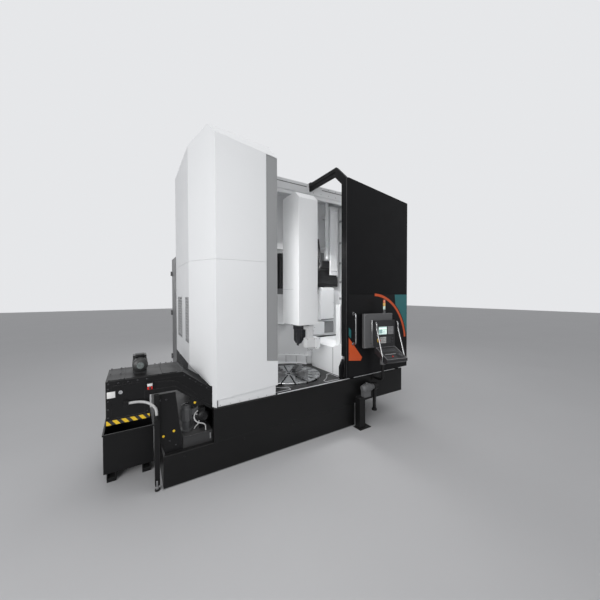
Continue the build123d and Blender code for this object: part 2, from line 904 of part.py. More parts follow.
def foot_block():
    """Black guide block beside the open door's edge."""
    x0 = door_left_x - foot_block_w
    outline = [
        (x0, rim_z + tray_h),
        (x0, foot_block_low_z),
        (door_left_x, foot_block_high_z),
        (door_left_x, rim_z + tray_h),
    ]
    return prism_y(outline, foot_block_y[0], foot_block_y[1])


def right_housing():
    """Fixed housing that closes the work area behind the open door."""
    body = block((wall_right_x, upper_right_x), (housing_front_y, roof_rear_y), (rim_z, housing_top_z))
    x = (wall_right_x + sheet, upper_right_x - sheet)
    body -= block(x, (housing_front_y - 1, roof_rear_y - sheet), (rim_z + sheet, housing_top_z - sheet))
    cap_y = (rail_y + rail_depth, roof_rear_y)
    cap = block((wall_right_x, upper_right_x), cap_y, (housing_top_z, roof_foot_z))
    post = block((wall_right_x, upper_right_x), (rail_y, rail_y + rail_depth), (housing_top_z, rail_foot_z))
    return body + cap + post


# Column, crossrail and saddle

def column():
    body = block(column_x, (column_y, column_rear_y), (rim_z, column_top_z))
    body += block(column_x, (wall_y, column_y + 1), column_nose_z)
    middle = sum(column_x) / 2
    for z in column_rows:
        for side in (-1, 1):
            x = middle + side * (column_pocket_w + column_web) / 2
            pocket = block(
                (x - column_pocket_w / 2, x + column_pocket_w / 2),
                (column_rear_y - column_pocket_d, column_rear_y + 1),
                (z, z + column_pocket_h),
            )
            body -= fillet(pocket.edges().filter_by(Axis.Y), column_pocket_r)
    return body


def crossrail():
    body = block(rail_beam_x, (beam_front_y, wall_y), (beam_foot_z, beam_top_z))
    middle = (beam_foot_z + beam_top_z) / 2
    groove_z = (middle - beam_groove, middle + beam_groove)
    body -= block(
        (rail_beam_x[0] - 1, rail_beam_x[1] + 1), (beam_front_y - 1, beam_front_y + beam_groove / 2), groove_z
    )
    ends = (beam_foot_z, beam_top_z)
    body = bevel(body, 14, lambda c: c.Y < beam_front_y + 1 and any(abs(c.Z - z) < 1 for z in ends))
    for z in way_heights():
        x = (rail_beam_x[0] + 20, rail_beam_x[1] - 20)
        body += block(x, (beam_front_y - way_h, beam_front_y), (z, z + way_w))
    return body


def way_heights():
    return (beam_foot_z + way_inset, beam_top_z - way_inset - way_w)


def saddle():
    x = (ram_x - saddle_left, ram_x + saddle_right)
    body = block(x, (saddle_front_y, beam_front_y - slide_gap * 10), (saddle_foot_z, saddle_top_z))
    body = bevel(body, 24, lambda c: c.Y < saddle_front_y + 1)
    for z in way_heights():
        groove_y = (beam_front_y - way_h - slide_gap, beam_front_y)
        body -= block((x[0] - 1, x[1] + 1), groove_y, (z - slide_gap, z + way_w + slide_gap))
    neck_x, neck_z = saddle_neck()
    return body + block(neck_x, (cover_back_y - ram_cover_sheet, saddle_front_y), neck_z)


def saddle_neck():
    """Width and height of the neck that carries the ram's housing."""
    half = quill_housing_side / 2 - sheet
    return (ram_x - half, ram_x + half), (saddle_foot_z + saddle_neck_in, saddle_top_z - saddle_neck_in)


def ram_housing():
    """Cast guide of the ram, inside the white cover."""
    half = quill_housing_side / 2
    y = (-half, cover_back_y - ram_cover_sheet)
    body = block((ram_x - half, ram_x + half), y, (quill_housing_foot_z, quill_housing_top_z))
    bore = ram_side / 2 + slide_gap
    z = (quill_housing_foot_z - 1, quill_housing_top_z + 1)
    return body - block((ram_x - bore, ram_x + bore), (-bore, bore), z)


def ram_cover_outline(inset):
    top = ram_cover_top_z - inset
    cut = ram_cover_bevel
    slope = 0.414 * inset
    return [
        (cover_front_y + inset, cover_foot_z - (1 if inset else 0)),
        (cover_front_y + inset, ram_cover_top_z - cut - slope),
        (cover_front_y + cut + slope, top),
        (cover_back_y - inset, top),
        (cover_back_y - inset, cover_foot_z - (1 if inset else 0)),
    ]


def ram_cover():
    left, right = ram_x - cover_half_w, ram_x + cover_half_w
    body = prism_x(ram_cover_outline(0), left, right)
    s = ram_cover_sheet
    body -= prism_x(ram_cover_outline(s), left + s, right - s)
    neck_x, neck_z = saddle_neck()
    body -= block(neck_x, (cover_back_y - s - 1, cover_back_y + 1), neck_z)
    seam_z = (ram_cover_seam_z, ram_cover_seam_z + seam)
    for x in (left - 1, right - seam / 2):
        body -= block((x, x + 1 + seam / 2), (cover_front_y - 1, cover_back_y + 1), seam_z)
    return body - block((left - 1, right + 1), (cover_front_y - 1, cover_front_y + seam / 2), seam_z)


def cable_chain():
    """Bent cable carrier on the saddle's right side."""
    right = ram_x + saddle_right
    x = right + chain_reach
    y = chain_y + chain_w / 2
    low_z = saddle_top_z - chain_drop
    route = [
        (right, y, low_z),
        (right + chain_run, y, low_z),
        (x + 2 * chain_w / 3, y, low_z + chain_w),
        (x, y, low_z + chain_drop + chain_w / 3),
        (x - chain_thick, y, low_z + 2 * chain_drop),
    ]
    path = FilletPolyline(*route, radius=chain_bends)
    section = Plane(origin=path @ 0, x_dir=(0, 1, 0), z_dir=path % 0) * Rectangle(chain_w, chain_thick)
    return sweep(section, path=path)


# Ram and tool

def ram():
    half = ram_side / 2
    return block((ram_x - half, ram_x + half), (-half, half), (ram_foot_z, ram_top_z))


def tool_holder():
    """Collar on the ram's end and the tapered block under it."""
    x0 = tool_tip_x - 55
    z = ram_foot_z - holder_collar_h
    collar = block((x0, x0 + holder_w), (-holder_d / 2, holder_d / 2), (z, ram_foot_z))
    blade = [
        (x0 + 4, z),
        (x0 + 4, holder_knee_z),
        (tool_tip_x - 18, tool_tip_z + 44),
        (tool_tip_x + 34, tool_tip_z + 44),
        (x0 + holder_w - 4, z - 120),
        (x0 + holder_w - 4, z),
    ]
    body = collar + prism_y(blade, -holder_d / 2 + 14, holder_d / 2 - 14)
    split_x = x0 + 0.55 * holder_w
    return body - block((split_x, split_x + 6), (-holder_d, -holder_d / 2 + 22), (holder_knee_z - 60, z))


def cutting_tool():
    """Square shank with a diamond insert at its tip."""
    z = tool_tip_z
    shank = [
        (tool_tip_x - 14, z + 44),
        (tool_tip_x - 14, z + 10),
        (tool_tip_x - 6, z + 6),
        (tool_tip_x + 26, z + 36),
        (tool_tip_x + 26, z + 44),
    ]
    body = prism_y(shank, -14, 14)
    tip = Rot(0, 0, 40) * Box(insert_side, insert_side, 6)
    insert = Pos(tool_tip_x - 2, -17, z + 12) * Rot(90, 0, 0) * tip
    return body + insert


def nozzle_block():
    """Coolant and probe block beside the tool, on an arm from the holder's collar."""
    collar_z = (ram_foot_z - holder_collar_h, ram_foot_z)
    collar_right = tool_tip_x - 55 + holder_w
    arm = block((collar_right - 50, nozzle_bracket_x[1]), (nozzle_y[0] + 10, -holder_d / 2), collar_z)
    bracket_y = (nozzle_y[0] + 10, nozzle_y[1] - 10)
    bracket = block(nozzle_bracket_x, bracket_y, (nozzle_z[1], ram_foot_z))
    body = bevel(block(nozzle_x, nozzle_y, nozzle_z), 14, lambda c: c.Z < nozzle_z[0] + 1)
    x = nozzle_x[0] + 40
    for step in range(2):
        jet = rod((x + 70 * step, nozzle_y[0] + 30, nozzle_z[0] - 22), (0, 0, 1), 9, 24)
        body += jet
    return arm + bracket + body


def nozzle_guard():
    """Rounded white guard on the block's right."""
    x0 = nozzle_x[1]
    z = (nozzle_z[0] - 22, nozzle_z[1] + 6)
    body = block((x0, x0 + nozzle_guard_w), (nozzle_y[0] - 6, nozzle_y[1] + 6), z)
    return fillet(body.edges().filter_by(Axis.Y).group_by(Axis.X)[-1], 30)


# Door

def frame_line(inset):
    """Outer line of the gable, moved inwards: front, slope and roof, in Y and Z."""
    slope = 0.414 * inset
    front = door_front_y + inset
    top = frame_apex_z - inset
    return [
        (front, frame_crease_z - slope),
        (frame_apex_y + slope, top),
    ]


def frame_band_form(outer, inner, x0, x1):
    """Band between two insets of the gable line, from the foot to the roof arm's end."""
    a = frame_line(outer)
    b = frame_line(inner)
    arm_y = rail_y - slide_gap
    foot = door_foot_z
    outline = [
        (a[0][0], foot), a[0], a[1], (arm_y, a[1][1]),
        (arm_y, b[1][1]), b[1], b[0], (b[0][0], foot),
    ]
    return prism_x(outline, x0, x1)


def door_frame():
    """Gable-shaped leading edge of the door, with a set-back inner band and a hook on the rail."""
    x0, x1 = door_left_x, door_left_x + frame_w
    body = frame_band_form(0, frame_band, x0, x1)
    body += frame_band_form(frame_band, frame_rim, x0 + frame_inset, x1)
    keep = block((x0, x1), (door_front_y, rail_y), (door_foot_z, frame_apex_z))
    body = body & keep
    low = (door_foot_z - 1, foot_block_high_z + 40)
    body -= block((x0 - 1, x1 + 1), (door_front_y + door_thick, rail_y), low)
    arm_y = rail_y - slide_gap
    hook_z = cover_top_z + slide_gap
    hook = block((x0, x1), (arm_y - 60, rail_y + hook_l), (hook_z, hook_z + hook_h))
    riser = block((x0, x1), (arm_y - 60, arm_y), (frame_apex_z - frame_band, hook_z + hook_h))
    return body + hook + riser


def door_panel():
    x0, x1 = door_left_x + frame_w, door_right_x
    slope = (door_top_right_z - door_top_left_z) / (x1 - x0)
    outline = [
        (x0, door_foot_z),
        (x0, door_top_left_z),
        (x1, door_top_left_z + slope * (x1 - x0)),
        (x1, door_foot_z),
    ]
    y = (door_front_y, door_front_y + door_thick)
    body = prism_y(outline, y[0], y[1])
    body = bevel(body, 5, lambda c: c.Y < door_front_y + 1)
    seam_z = (door_seam_z, door_seam_z + door_seam_w)
    body -= block((x0 - 1, x1 + 1), (y[0] - 1, y[0] + door_seam_d), seam_z)
    shoe_y = (y[1] - door_rib_d - 2, y[1])
    for x in shoe_x:
        body += block((x, x + shoe_l), shoe_y, (rim_z + track_h + slide_gap, door_foot_z))
    margin = door_rib_margin
    pocket_z = (door_foot_z + margin, door_top_right_z - 1.5 * margin)
    pitch = (x1 - x0 - 2 * margin) / door_ribs
    for step in range(door_ribs):
        start = x0 + margin + step * pitch
        body -= block((start, start + pitch - door_rib_w), (y[1] - door_rib_d, y[1] + 1), pocket_z)
    return body


def door_handle():
    """Bent chrome grab bar with two flanges on the door."""
    z0, z1 = handle_foot_z + handle_foot, handle_top_z - handle_foot
    y0 = door_front_y
    y1 = y0 - handle_reach
    route = [(handle_x, y0, z0), (handle_x, y1, z0), (handle_x, y1, z1), (handle_x, y0, z1)]
    body = tube_along(route, (handle_bend, handle_bend), handle_r)
    for z in (z0, z1):
        body += rod((handle_x, y0 - handle_flange_h, z), (0, 1, 0), 1.9 * handle_r, handle_flange_h)
    return body


# Pump at the right front

def pump_stand():
    x, y = pump_stand_x, pump_stand_y
    body = block(x, y, (pump_plate_h, pump_stand_h))
    body += block(pump_plate, (y[0] - 1.5 * sheet, y[1] + sheet), (0, pump_plate_h))
    shelf_z = (pump_stand_h - pump_shelf_h, pump_stand_h)
    return body + block((x[1], x[1] + pump_shelf_l), (y[0] + sheet, y[1] - sheet / 2), shelf_z)


def pump_body():
    """Cast motor lying on the stand, with its fan cowl and black pump head."""
    x0, x1 = pump_motor_x
    z = pump_axis_z
    y = pump_axis_y
    sketch = [
        (x0, 0), (x0, 0.55 * pump_motor_r), (x0 + 20, 0.9 * pump_motor_r), (x0 + 60, pump_motor_r),
        (x1 - 70, pump_motor_r), (x1 - 60, 0.7 * pump_motor_r), (x1, 0.7 * pump_motor_r), (x1, 0),
    ]
    wire = Polyline(*[(px, y, z + r) for px, r in sketch], close=True)
    body = revolve(make_face(wire), Axis((0, y, z), (1, 0, 0)))
    feet = block((x0 + 20, x0 + 150), (y - 40, y + 40), (pump_stand_h, z))
    return body + feet


def pump_head():
    """Black head with its suction and delivery pipes."""
    x0 = pump_motor_x[1]
    y, z = pump_axis_y, pump_axis_z
    body = rod((x0, y, z), (1, 0, 0), 58, 70)
    body += rod((x0 + 35, y, z), (0, 0, -1), 26, z - 230)
    body += rod((x0 + 35, y, z), (0, 1, 0), 24, front_y - y)
    body += rod((x0 + 35, y, 230), (0, 0, -1), 40, 24)
    return body


# Pendant, drawn about its pole and then turned

def pendant_arm():
    """Arm from the base front, elbow and upright pole."""
    route = [(pole_x, front_y, pole_foot_z), (pole_x, pole_y, pole_foot_z), (pole_x, pole_y, pole_top_z)]
    body = tube_along(route, (pole_bend,), pole_r)
    return body + rod((pole_x, front_y, pole_foot_z), (0, -1, 0), pole_flange_r, pole_flange_h)


def on_pole(solid):
    return Pos(pole_x, pole_y, 0) * Rot(0, 0, -pendant_yaw) * solid


def local(u, v, z):
    """Box in the pendant's own directions: u to the right, v towards the operator."""
    return block(u, (-v[1], -v[0]), z)


def pendant_housing():
    z = pendant_back_z
    body = local(pendant_back, pendant_back_v, z)
    body = bevel(body, 10, lambda c: c.Y < -pendant_back_v[1] + 1)
    foot = sleeve_foot_z
    body += rod((0, 0, foot), (0, 0, 1), 2 * pole_r, z[0] + 3 * sheet - foot)
    body -= rod((0, 0, foot - 1), (0, 0, 1), pole_r + fit, pole_top_z + slide_gap - foot + 1)
    return on_pole(body)


def pendant_screen():
    """Dark front unit with bevelled sides and a framed screen."""
    u0, u1 = screen_u
    z0, z1 = screen_z
    v0, v1 = pendant_back_v[1], screen_v
    back = [(u0 - screen_bevel, -v0), (u0, -v1), (u1, -v1), (u1 + screen_bevel, -v0)]
    body = prism_z(back, z0, z1)
    body -= local(display_u, (v1 - 2 * panel_recess, v1 + 1), display_z)
    body -= local(keys_u, (v1 - panel_recess, v1 + 1), display_z)
    body -= local(buttons_u, (v1 - panel_recess, v1 + 1), buttons_z)
    bore = estop_seat + estop_travel + slide_gap
    bore_v = v1 - panel_recess - bore
    body -= rod((estop_u, -bore_v, estop_z), (0, -1, 0), estop_stem_r() + fit, bore + 1)
    for x in pendant_rail_places():
        reach = sorted((x - pendant_rail_r if x < 0 else u1, u0 if x < 0 else x + pendant_rail_r))
        body += local(reach, (v0, v0 + 2 * pendant_rail_r + 6), (z1 - 36, z1 - 8))
    return on_pole(body - rod((0, 0, sleeve_foot_z), (0, 0, 1), 2 * pole_r, z0 + 2 * sheet - sleeve_foot_z))


def pendant_rail_places():
    middle = sum(screen_u) / 2
    reach = shelf_w / 2 + pendant_rail_r + 4
    return (middle - reach, middle + reach)


def pendant_shelf():
    """Sloping key shelf in front of the screen."""
    v0, v1 = screen_v, shelf_front_v
    z0, z1 = shelf_back_z, shelf_front_z
    t = shelf_thick
    outline = [(-v0, z0), (-v1, z1), (-v1, z1 - 0.6 * t), (-v1 + 60, z1 - t - 10), (-v0, z0 - t - 30)]
    middle = sum(screen_u) / 2
    x = (middle - shelf_w / 2, middle + shelf_w / 2)
    body = prism_x(outline, x[0], x[1])
    body += local(x, (v0 - shelf_lug, v0), (z0 - t - 30, screen_z[0]))
    tilt = math.degrees(math.atan2(z0 - z1, v1 - v0))
    length = math.hypot(v1 - v0, z0 - z1)
    for a, b in ((0.10, 0.42), (0.52, 0.90)):
        bay = Pos(middle, -(v0 + (a + b) / 2 * (v1 - v0)), z0 - (a + b) / 2 * (z0 - z1))
        body -= bay * Rot(tilt, 0, 0) * Box(shelf_w - 90, (b - a) * length, 8)
    body -= rod((0, 0, sleeve_foot_z), (0, 0, 1), 2 * pole_r + slide_gap, z0 - sleeve_foot_z + sheet)
    return on_pole(body)


def pendant_rails():
    """Chrome guard rails, one each side of the shelf, seated on the screen unit's lugs."""
    bars = []
    for x in pendant_rail_places():
        top = screen_z[1] - 22
        v0 = pendant_back_v[1] + 2 * pendant_rail_r + 6
        route = [
            (x, -v0, top),
            (x, -v0 - 55, top),
            (x, -v0 - 60, top - 110),
            (x, -shelf_front_v * 0.72, shelf_front_z + 30),
            (x, -shelf_front_v * 0.72 + 10, shelf_front_z - 40),
        ]
        bars.append(on_pole(tube_along(route, (44, 60, 40), pendant_rail_r)))
    return Compound(children=[bar for part in bars for bar in part.solids()])


def estop_button():
    """Mushroom head on a stem that slides in the panel's bore."""
    v = screen_v - panel_recess
    stem = rod((estop_u, estop_seat - v, estop_z), (0, -1, 0), estop_stem_r(), estop_seat + estop_lift)
    head = rod((estop_u, -v - estop_lift, estop_z), (0, -1, 0), estop_r, estop_head_h)
    return on_pole(stem + fillet(head.edges().sort_by(Axis.Y)[0], 5))


def estop_stem_r():
    return 0.55 * estop_r


def stack_light():
    """Signal light in tiers on a short base."""
    z0, z1 = light_z
    v = sum(pendant_back_v) / 2
    profile = [(0, z0), (1.3 * light_r, z0), (1.3 * light_r, z0 + 10), (light_r, z0 + 14)]
    tiers = 3
    body_z = z0 + 70
    pitch = (z1 - 12 - body_z) / tiers
    for step in range(tiers + 1):
        z = body_z + step * pitch
        profile += [(light_r, z), (light_r - 2, z + 1.5), (light_r - 2, z + 4), (light_r, z + 5.5)]
    profile += [(light_r, z1 - 4), (light_r - 5, z1), (0, z1)]
    wire = Polyline(*[(r, 0, z) for r, z in profile], close=True)
    return on_pole(Pos(light_u, -v, 0) * revolve(make_face(wire), Axis.Z))


# Conveyor, its stand, the bin and the coolant pieces

def conveyor_side(inset):
    """Swan-neck outline of the trough in X and Z."""
    slope = (trough_slope_z - trough_top_z) / (trough_slope_x - trough_hump_x)
    angle = math.atan(-slope)
    t = trough_depth
    low_x = trough_hump_x + (trough_low_z - trough_top_z) / slope
    shift = t * math.tan(angle / 2)
    return [
        (conveyor_left_x + inset, head_foot_z + inset),
        (conveyor_left_x + inset, trough_top_z - inset),
        (trough_hump_x + inset * math.tan(angle / 2), trough_top_z - inset),
        (low_x + inset * math.tan(angle / 2), trough_low_z - inset),
        (trough_end_x - inset, trough_low_z - inset),
        (trough_end_x - inset, trough_low_z - t + inset),
        (low_x - shift - inset * math.tan(angle / 2), trough_low_z - t + inset),
        (trough_hump_x - shift - inset * math.tan(angle / 2), trough_top_z - t + inset),
        (head_right_x - inset, trough_top_z - t + inset),
        (head_right_x - inset, head_foot_z + inset),
    ]


def conveyor_trough():
    y0, y1 = conveyor_near_y, conveyor_near_y + conveyor_w
    body = prism_y(conveyor_side(0), y0, y1)
    body -= prism_y(conveyor_side(conveyor_wall), y0 + conveyor_wall, y1 - conveyor_wall)
    mouth_x = (conveyor_left_x + conveyor_wall, head_right_x - conveyor_wall)
    mouth_y = (y0 + conveyor_wall, y1 - conveyor_wall)
    body -= block(mouth_x, mouth_y, (head_foot_z - 1, head_foot_z + conveyor_wall + 1))
    scoop_x = (trough_end_x - 220, trough_end_x - conveyor_wall)
    body -= block(scoop_x, mouth_y, (trough_low_z - conveyor_wall - 1, trough_low_z + 1))
    for y in (y0 - 1, y1 - conveyor_wall - 1):
        body -= rod((drum_x, y, drum_z), (0, 1, 0), drum_shaft_r + fit, conveyor_wall + 2)
    body -= prism_y(conveyor_side(46), y0 - 1, y0 + 3)
    x, y, z = conduit_route[0]
    half = 1.4 * conduit_r
    gland = block((x - 2 * half, x), (y - half, y0 + 4), (z - half, z + half))
    return body + conveyor_lid() + switch_box() + gland


def conveyor_lid():
    """Flat lid plates on the trough's top, with an upstand along the near edge."""
    y0, y1 = conveyor_near_y, conveyor_near_y + conveyor_w
    x = (conveyor_left_x + lid_w, trough_hump_x - 60)
    body = block(x, (y0 + lid_w, y1 - lid_w), (trough_top_z, trough_top_z + 6))
    for share in (0.22, 0.78):
        px = x[0] + share * (x[1] - x[0])
        body += block((px - 4, px + 4), (y0 + lid_w, y1 - lid_w), (trough_top_z + 6, trough_top_z + 12))
    return body


def conveyor_drum():
    """Head drum with eight low cleats on its shaft."""
    y0 = conveyor_near_y + conveyor_wall + 2
    length = conveyor_w - 2 * conveyor_wall - 4
    body = rod((drum_x, y0, drum_z), (0, 1, 0), drum_r, length)
    for step in range(8):
        cleat = block((-4, 4), (y0, y0 + length), (drum_r - 4, drum_r + 8))
        body += Pos(drum_x, 0, drum_z) * Rot(0, step * 45, 0) * cleat
    shaft_y = conveyor_near_y - 6
    return body + rod((drum_x, shaft_y, drum_z), (0, 1, 0), drum_shaft_r, conveyor_w + 12)


def conveyor_motor():
    """Gear motor lying on the lid, with its domed fan cowl towards the front."""
    x, r, end = motor_x, motor_r, motor_l
    y0 = conveyor_near_y + motor_set_back
    foot_z = trough_top_z + thin_sheet
    z = foot_z + 1.33 * r
    cowl = motor_cowl_l
    profile = [
        (0, 0), (0, 0.5 * r), (0.14 * r, 0.86 * r), (0.4 * r, r),
        (cowl, r), (cowl + 4, 0.9 * r), (end, 0.9 * r), (end, 0),
    ]
    wire = Polyline(*[(x, y0 + along, z + rise) for along, rise in profile], close=True)
    body = revolve(make_face(wire), Axis((x, 0, z), (0, 1, 0)))
    half = gearbox_half_w
    body += block((x - half, x + half), (y0 + end, y0 + end + gearbox_l), (foot_z, z + half))
    return body + block((x - 0.8 * r, x + 0.8 * r), (y0 + 0.8 * r, y0 + 3 * r), (foot_z, z - 0.5 * r))


def conveyor_stand():
    """Leg with its screw foot, and the brace plate down to the base."""
    parts = (conveyor_leg(), levelling_foot(), conveyor_brace())
    return Compound(children=[solid for part in parts for solid in part.solids()])


def conveyor_leg():
    x, y = leg_x, (leg_y, conveyor_near_y)
    body = block(x, y, (foot_h, leg_top_z))
    centre = ((x[0] + x[1]) / 2, (y[0] + y[1]) / 2)
    body -= rod((centre[0], centre[1], foot_h - 1), (0, 0, 1), 0.3 * foot_r, 60)
    end = conduit_route[-1]
    gland = rod((end[0], end[1], end[2] - 40), (0, 0, 1), 1.4 * conduit_r, 40)
    return body + gland + block((end[0] - 12, end[0] + 12), (end[1], y[0]), (end[2] - 40, end[2] - 6))


def levelling_foot():
    """Chrome screw foot with its nut and round pad."""
    x = sum(leg_x) / 2
    y = (leg_y + conveyor_near_y) / 2
    body = rod((x, y, 0), (0, 0, 1), foot_r, 12)
    body += rod((x, y, 12), (0, 0, 1), 0.3 * foot_r - slide_gap, foot_h + 40)
    nut = extrude(RegularPolygon(0.62 * foot_r, 6), 14)
    return body + Pos(x, y, foot_h - 14) * nut


def conveyor_brace():
    """Plate from the trough down to the base, with a folded edge."""
    y = (conveyor_near_y - brace_thick - slide_gap, conveyor_near_y - slide_gap)
    outline = [
        (brace_top_x[0], brace_top_z),
        (brace_top_x[1] + 60, brace_top_z),
        (brace_foot_x[1], tier_z),
        (brace_foot_x[0], tier_z),
        (brace_top_x[0] + 12, 0.55 * brace_top_z),
    ]
    body = prism_y(outline, y[0], y[1])
    return body


def chip_bin():
    """Open bin on two skids, with a rolled rim."""
    z0, z1 = bin_foot_z, bin_top_z
    lean = 26.0
    x, y = bin_x, bin_y
    body = block(x, y, (z0, z1))
    w = bin_wall
    body -= block((x[0] + w, x[1] - w), (y[0] + w, y[1] - w), (z0 + w, z1 + 1))
    rim = block((x[0] - 8, x[1] + 8), (y[0] - 8, y[1] + 8), (z1 - 14, z1))
    rim -= block((x[0] + w, x[1] - w), (y[0] + w, y[1] - w), (z1 - 15, z1 + 1))
    body += rim
    for side in (x[0] + lean, x[1] - lean - skid_w):
        skid = block((side, side + skid_w), (y[0] + lean, y[1] - lean), (0, z0))
        tunnel = block((side + 10, side + skid_w - 10), (y[0], y[1]), (z0 - skid_h, z0 - 6))
        body += skid - tunnel
    return body


def coolant_tank():
    body = block(tank_x, tank_y, (tier_z, tank_top_z - tank_rim_h))
    rim = block(tank_x, (tank_y[0] - tank_rim_w, tank_y[1]), (tank_top_z - tank_rim_h, tank_top_z))
    end = hose_route[-1]
    gland = rod((end[0], end[1], tank_top_z), (0, 0, 1), 1.4 * hose_r, end[2] - tank_top_z)
    return body + rim + gland


def coolant_pump():
    """Upright pump motor in grey on the tank."""
    x, y = pump_at
    z, r, h = tank_top_z, pump_r, pump_h
    profile = [
        (0, 0), (1.13 * r, 0), (1.13 * r, 0.05 * h), (0.74 * r, 0.07 * h), (0.74 * r, 0.36 * h),
        (r, 0.39 * h), (r, 0.82 * h), (0.9 * r, 0.86 * h), (0.9 * r, 0.96 * h), (0.55 * r, h), (0, h),
    ]
    wire = Polyline(*[(x + out, y, z + rise) for out, rise in profile], close=True)
    body = revolve(make_face(wire), Axis((x, y, 0), (0, 0, 1)))
    body += block((x + 0.65 * r, x + 1.55 * r), (y - 0.58 * r, y + 0.58 * r), (z + 0.56 * h, z + 0.79 * h))
    fin = block((r - 2, r + 4), (-2, 2), (z + 0.41 * h, z + 0.81 * h))
    for step in range(pump_fins):
        body += Pos(x, y, 0) * Rot(0, 0, (step + 0.5) * 360 / pump_fins) * fin
    return body


def filter_motor():
    """Round black motor lying across the tank, with its grey cap."""
    x, y, z = filter_at
    r, end = filter_r, filter_l
    profile = [(0, 0), (0, 0.7 * r), (0.23 * r, r), (r, r), (1.06 * r, 0.9 * r), (end, 0.9 * r), (end, 0)]
    wire = Polyline(*[(x, y + along, z + rise) for along, rise in profile], close=True)
    body = revolve(make_face(wire), Axis((x, 0, z), (0, 1, 0)))
    body += block((x - 0.65 * r, x + 0.65 * r), (y + 1.3 * r, y + end - sheet), (tank_top_z, z - 0.5 * r))
    cap = block((x - 0.68 * r, x + 0.32 * r), (y + 0.32 * r, y + 1.77 * r), (z + 0.65 * r, z + 1.55 * r))
    start, after = hose_route[:2]
    inwards = Vector(*start) - Vector(*after)
    gland = rod(start, inwards, 1.4 * hose_r, 4 * hose_r)
    return body + cap + gland


def switch_box():
    y = (conveyor_near_y - 34, conveyor_near_y + 4)
    return bevel(block(switch_x, y, switch_z), 5, lambda c: c.Y < y[0] + 1)


# Electrical cabinet

def electrical_cabinet():
    x, y, z = cabinet_x, cabinet_y, (rim_z, cabinet_top_z)
    body = block(x, y, z)
    s = sheet
    body -= block((x[0] + s, x[1] - s), (y[0] + s, y[1] + 1), (z[0] + s, z[1] - s))
    plate = block((x[0] + 60, x[1] - 60), (y[0] + s, y[0] + s + 6), (z[0] + 90, z[1] - 90))
    body += plate
    body += block((x[0] + 300, x[1] - 300), (y[0] + s + 6, y[0] + 120), (z[0] + 900, z[0] + 1250))
    hinge_x = x[0] - 2 * cabinet_pin_r
    hinge_y = y[1] + cabinet_door_h / 2
    for hz in hinge_heights():
        top = hz + hinge_h
        outer = x[0] - 3 * cabinet_pin_r
        lug = block((outer, x[0]), (y[1] - hinge_h, y[1] - slide_gap), (hz, top))
        ear = block((outer, hinge_x + cabinet_pin_r), (y[1] - 1, hinge_y + cabinet_pin_r), (hz, top))
        pin = rod((hinge_x, hinge_y, top), (0, 0, 1), cabinet_pin_r / 2, hinge_h)
        body += lug + ear + pin
    return body


def hinge_heights():
    z = (rim_z, cabinet_top_z)
    return [z[0] + 200, (z[0] + z[1]) / 2, z[1] - 280]


def cabinet_door():
    x, y, z = cabinet_x, cabinet_y, (rim_z, cabinet_top_z)
    door_y = (y[1] + slide_gap, y[1] + cabinet_door_h)
    body = block((x[0], x[1]), door_y, (z[0] + 4, z[1] - 4))
    body = bevel(body, 4, lambda c: c.Y > door_y[1] - 1)
    hinge_x = x[0] - 2 * cabinet_pin_r
    hinge_y = y[1] + cabinet_door_h / 2
    for hz in hinge_heights():
        z0 = hz + hinge_h + slide_gap
        length = hinge_h - 4
        knuckle = rod((hinge_x, hinge_y, z0), (0, 0, 1), cabinet_pin_r, length)
        knuckle += block((hinge_x, x[0] + 1), (hinge_y - 3, hinge_y + 3), (z0, z0 + length))
        knuckle -= rod((hinge_x, hinge_y, z0 - 1), (0, 0, 1), cabinet_pin_r / 2 + fit, hinge_h)
        body += knuckle
    hole = rod((x[1] - 60, door_y[0] - 1, cabinet_handle_z), (0, 1, 0), 9 + fit, cabinet_door_h + 4)
    return body - hole


def cabinet_handle():
    x, y = cabinet_x[1] - 60, cabinet_y[1] + cabinet_door_h
    z = cabinet_handle_z
    stem = rod((x, y - cabinet_door_h + slide_gap, z), (0, 1, 0), 9, cabinet_door_h + 12)
    grip = block((x - 13, x + 13), (y + 12, y + 30), (z - 96, z + 20))
    return stem + fillet(grip.edges().filter_by(Axis.Y), 10)


# Cords

def conduit():
    radii = bend_radii(conduit_route)
    print("conduit radii", [round(r, 1) for r in radii], "diameter", 2 * conduit_r)
    return tube_along(conduit_route, radii, conduit_r)


def coolant_hose():
    radii = bend_radii(hose_route)
    print("coolant hose radii", [round(r, 1) for r in radii], "diameter", 2 * hose_r)
    return tube_along(hose_route, radii, hose_r)


def all_nodes():
    makers = [
        lower_base, upper_base, work_floor, table_bearing, turntable,
        cover_lower, cover_upper, corner_strip, vent_louvres, cover_plinth,
        door_rails, rear_roof, back_wall, wall_services, magazine_covers,
        guard_ring, guard_right, foot_block, right_housing,
        column, crossrail, saddle, ram_housing, ram_cover, cable_chain,
        ram, tool_holder, cutting_tool, nozzle_block, nozzle_guard,
        door_frame, door_panel, door_handle,
        pump_stand, pump_body, pump_head,
        pendant_arm, pendant_housing, pendant_screen, pendant_shelf,
        pendant_rails, estop_button, stack_light,
        conveyor_trough, conveyor_drum, conveyor_motor, conveyor_stand,
        chip_bin, coolant_tank, coolant_pump, filter_motor,
        electrical_cabinet, cabinet_door, cabinet_handle, conduit, coolant_hose,
    ]
    nodes = {maker.__name__: maker() for maker in makers}
    for index in range(jaw_count):
        nodes[f"jaw_{index + 1}"] = jaw(index)
    return nodes


for name, solid in all_nodes().items():
    export_step(solid, f"parts/{name}.step")
    print(name, len(solid.solids()), "solid", round(solid.volume))
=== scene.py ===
import bpy
import bmesh
import json
import math
import random
from itertools import product
from mathutils import Matrix, Vector


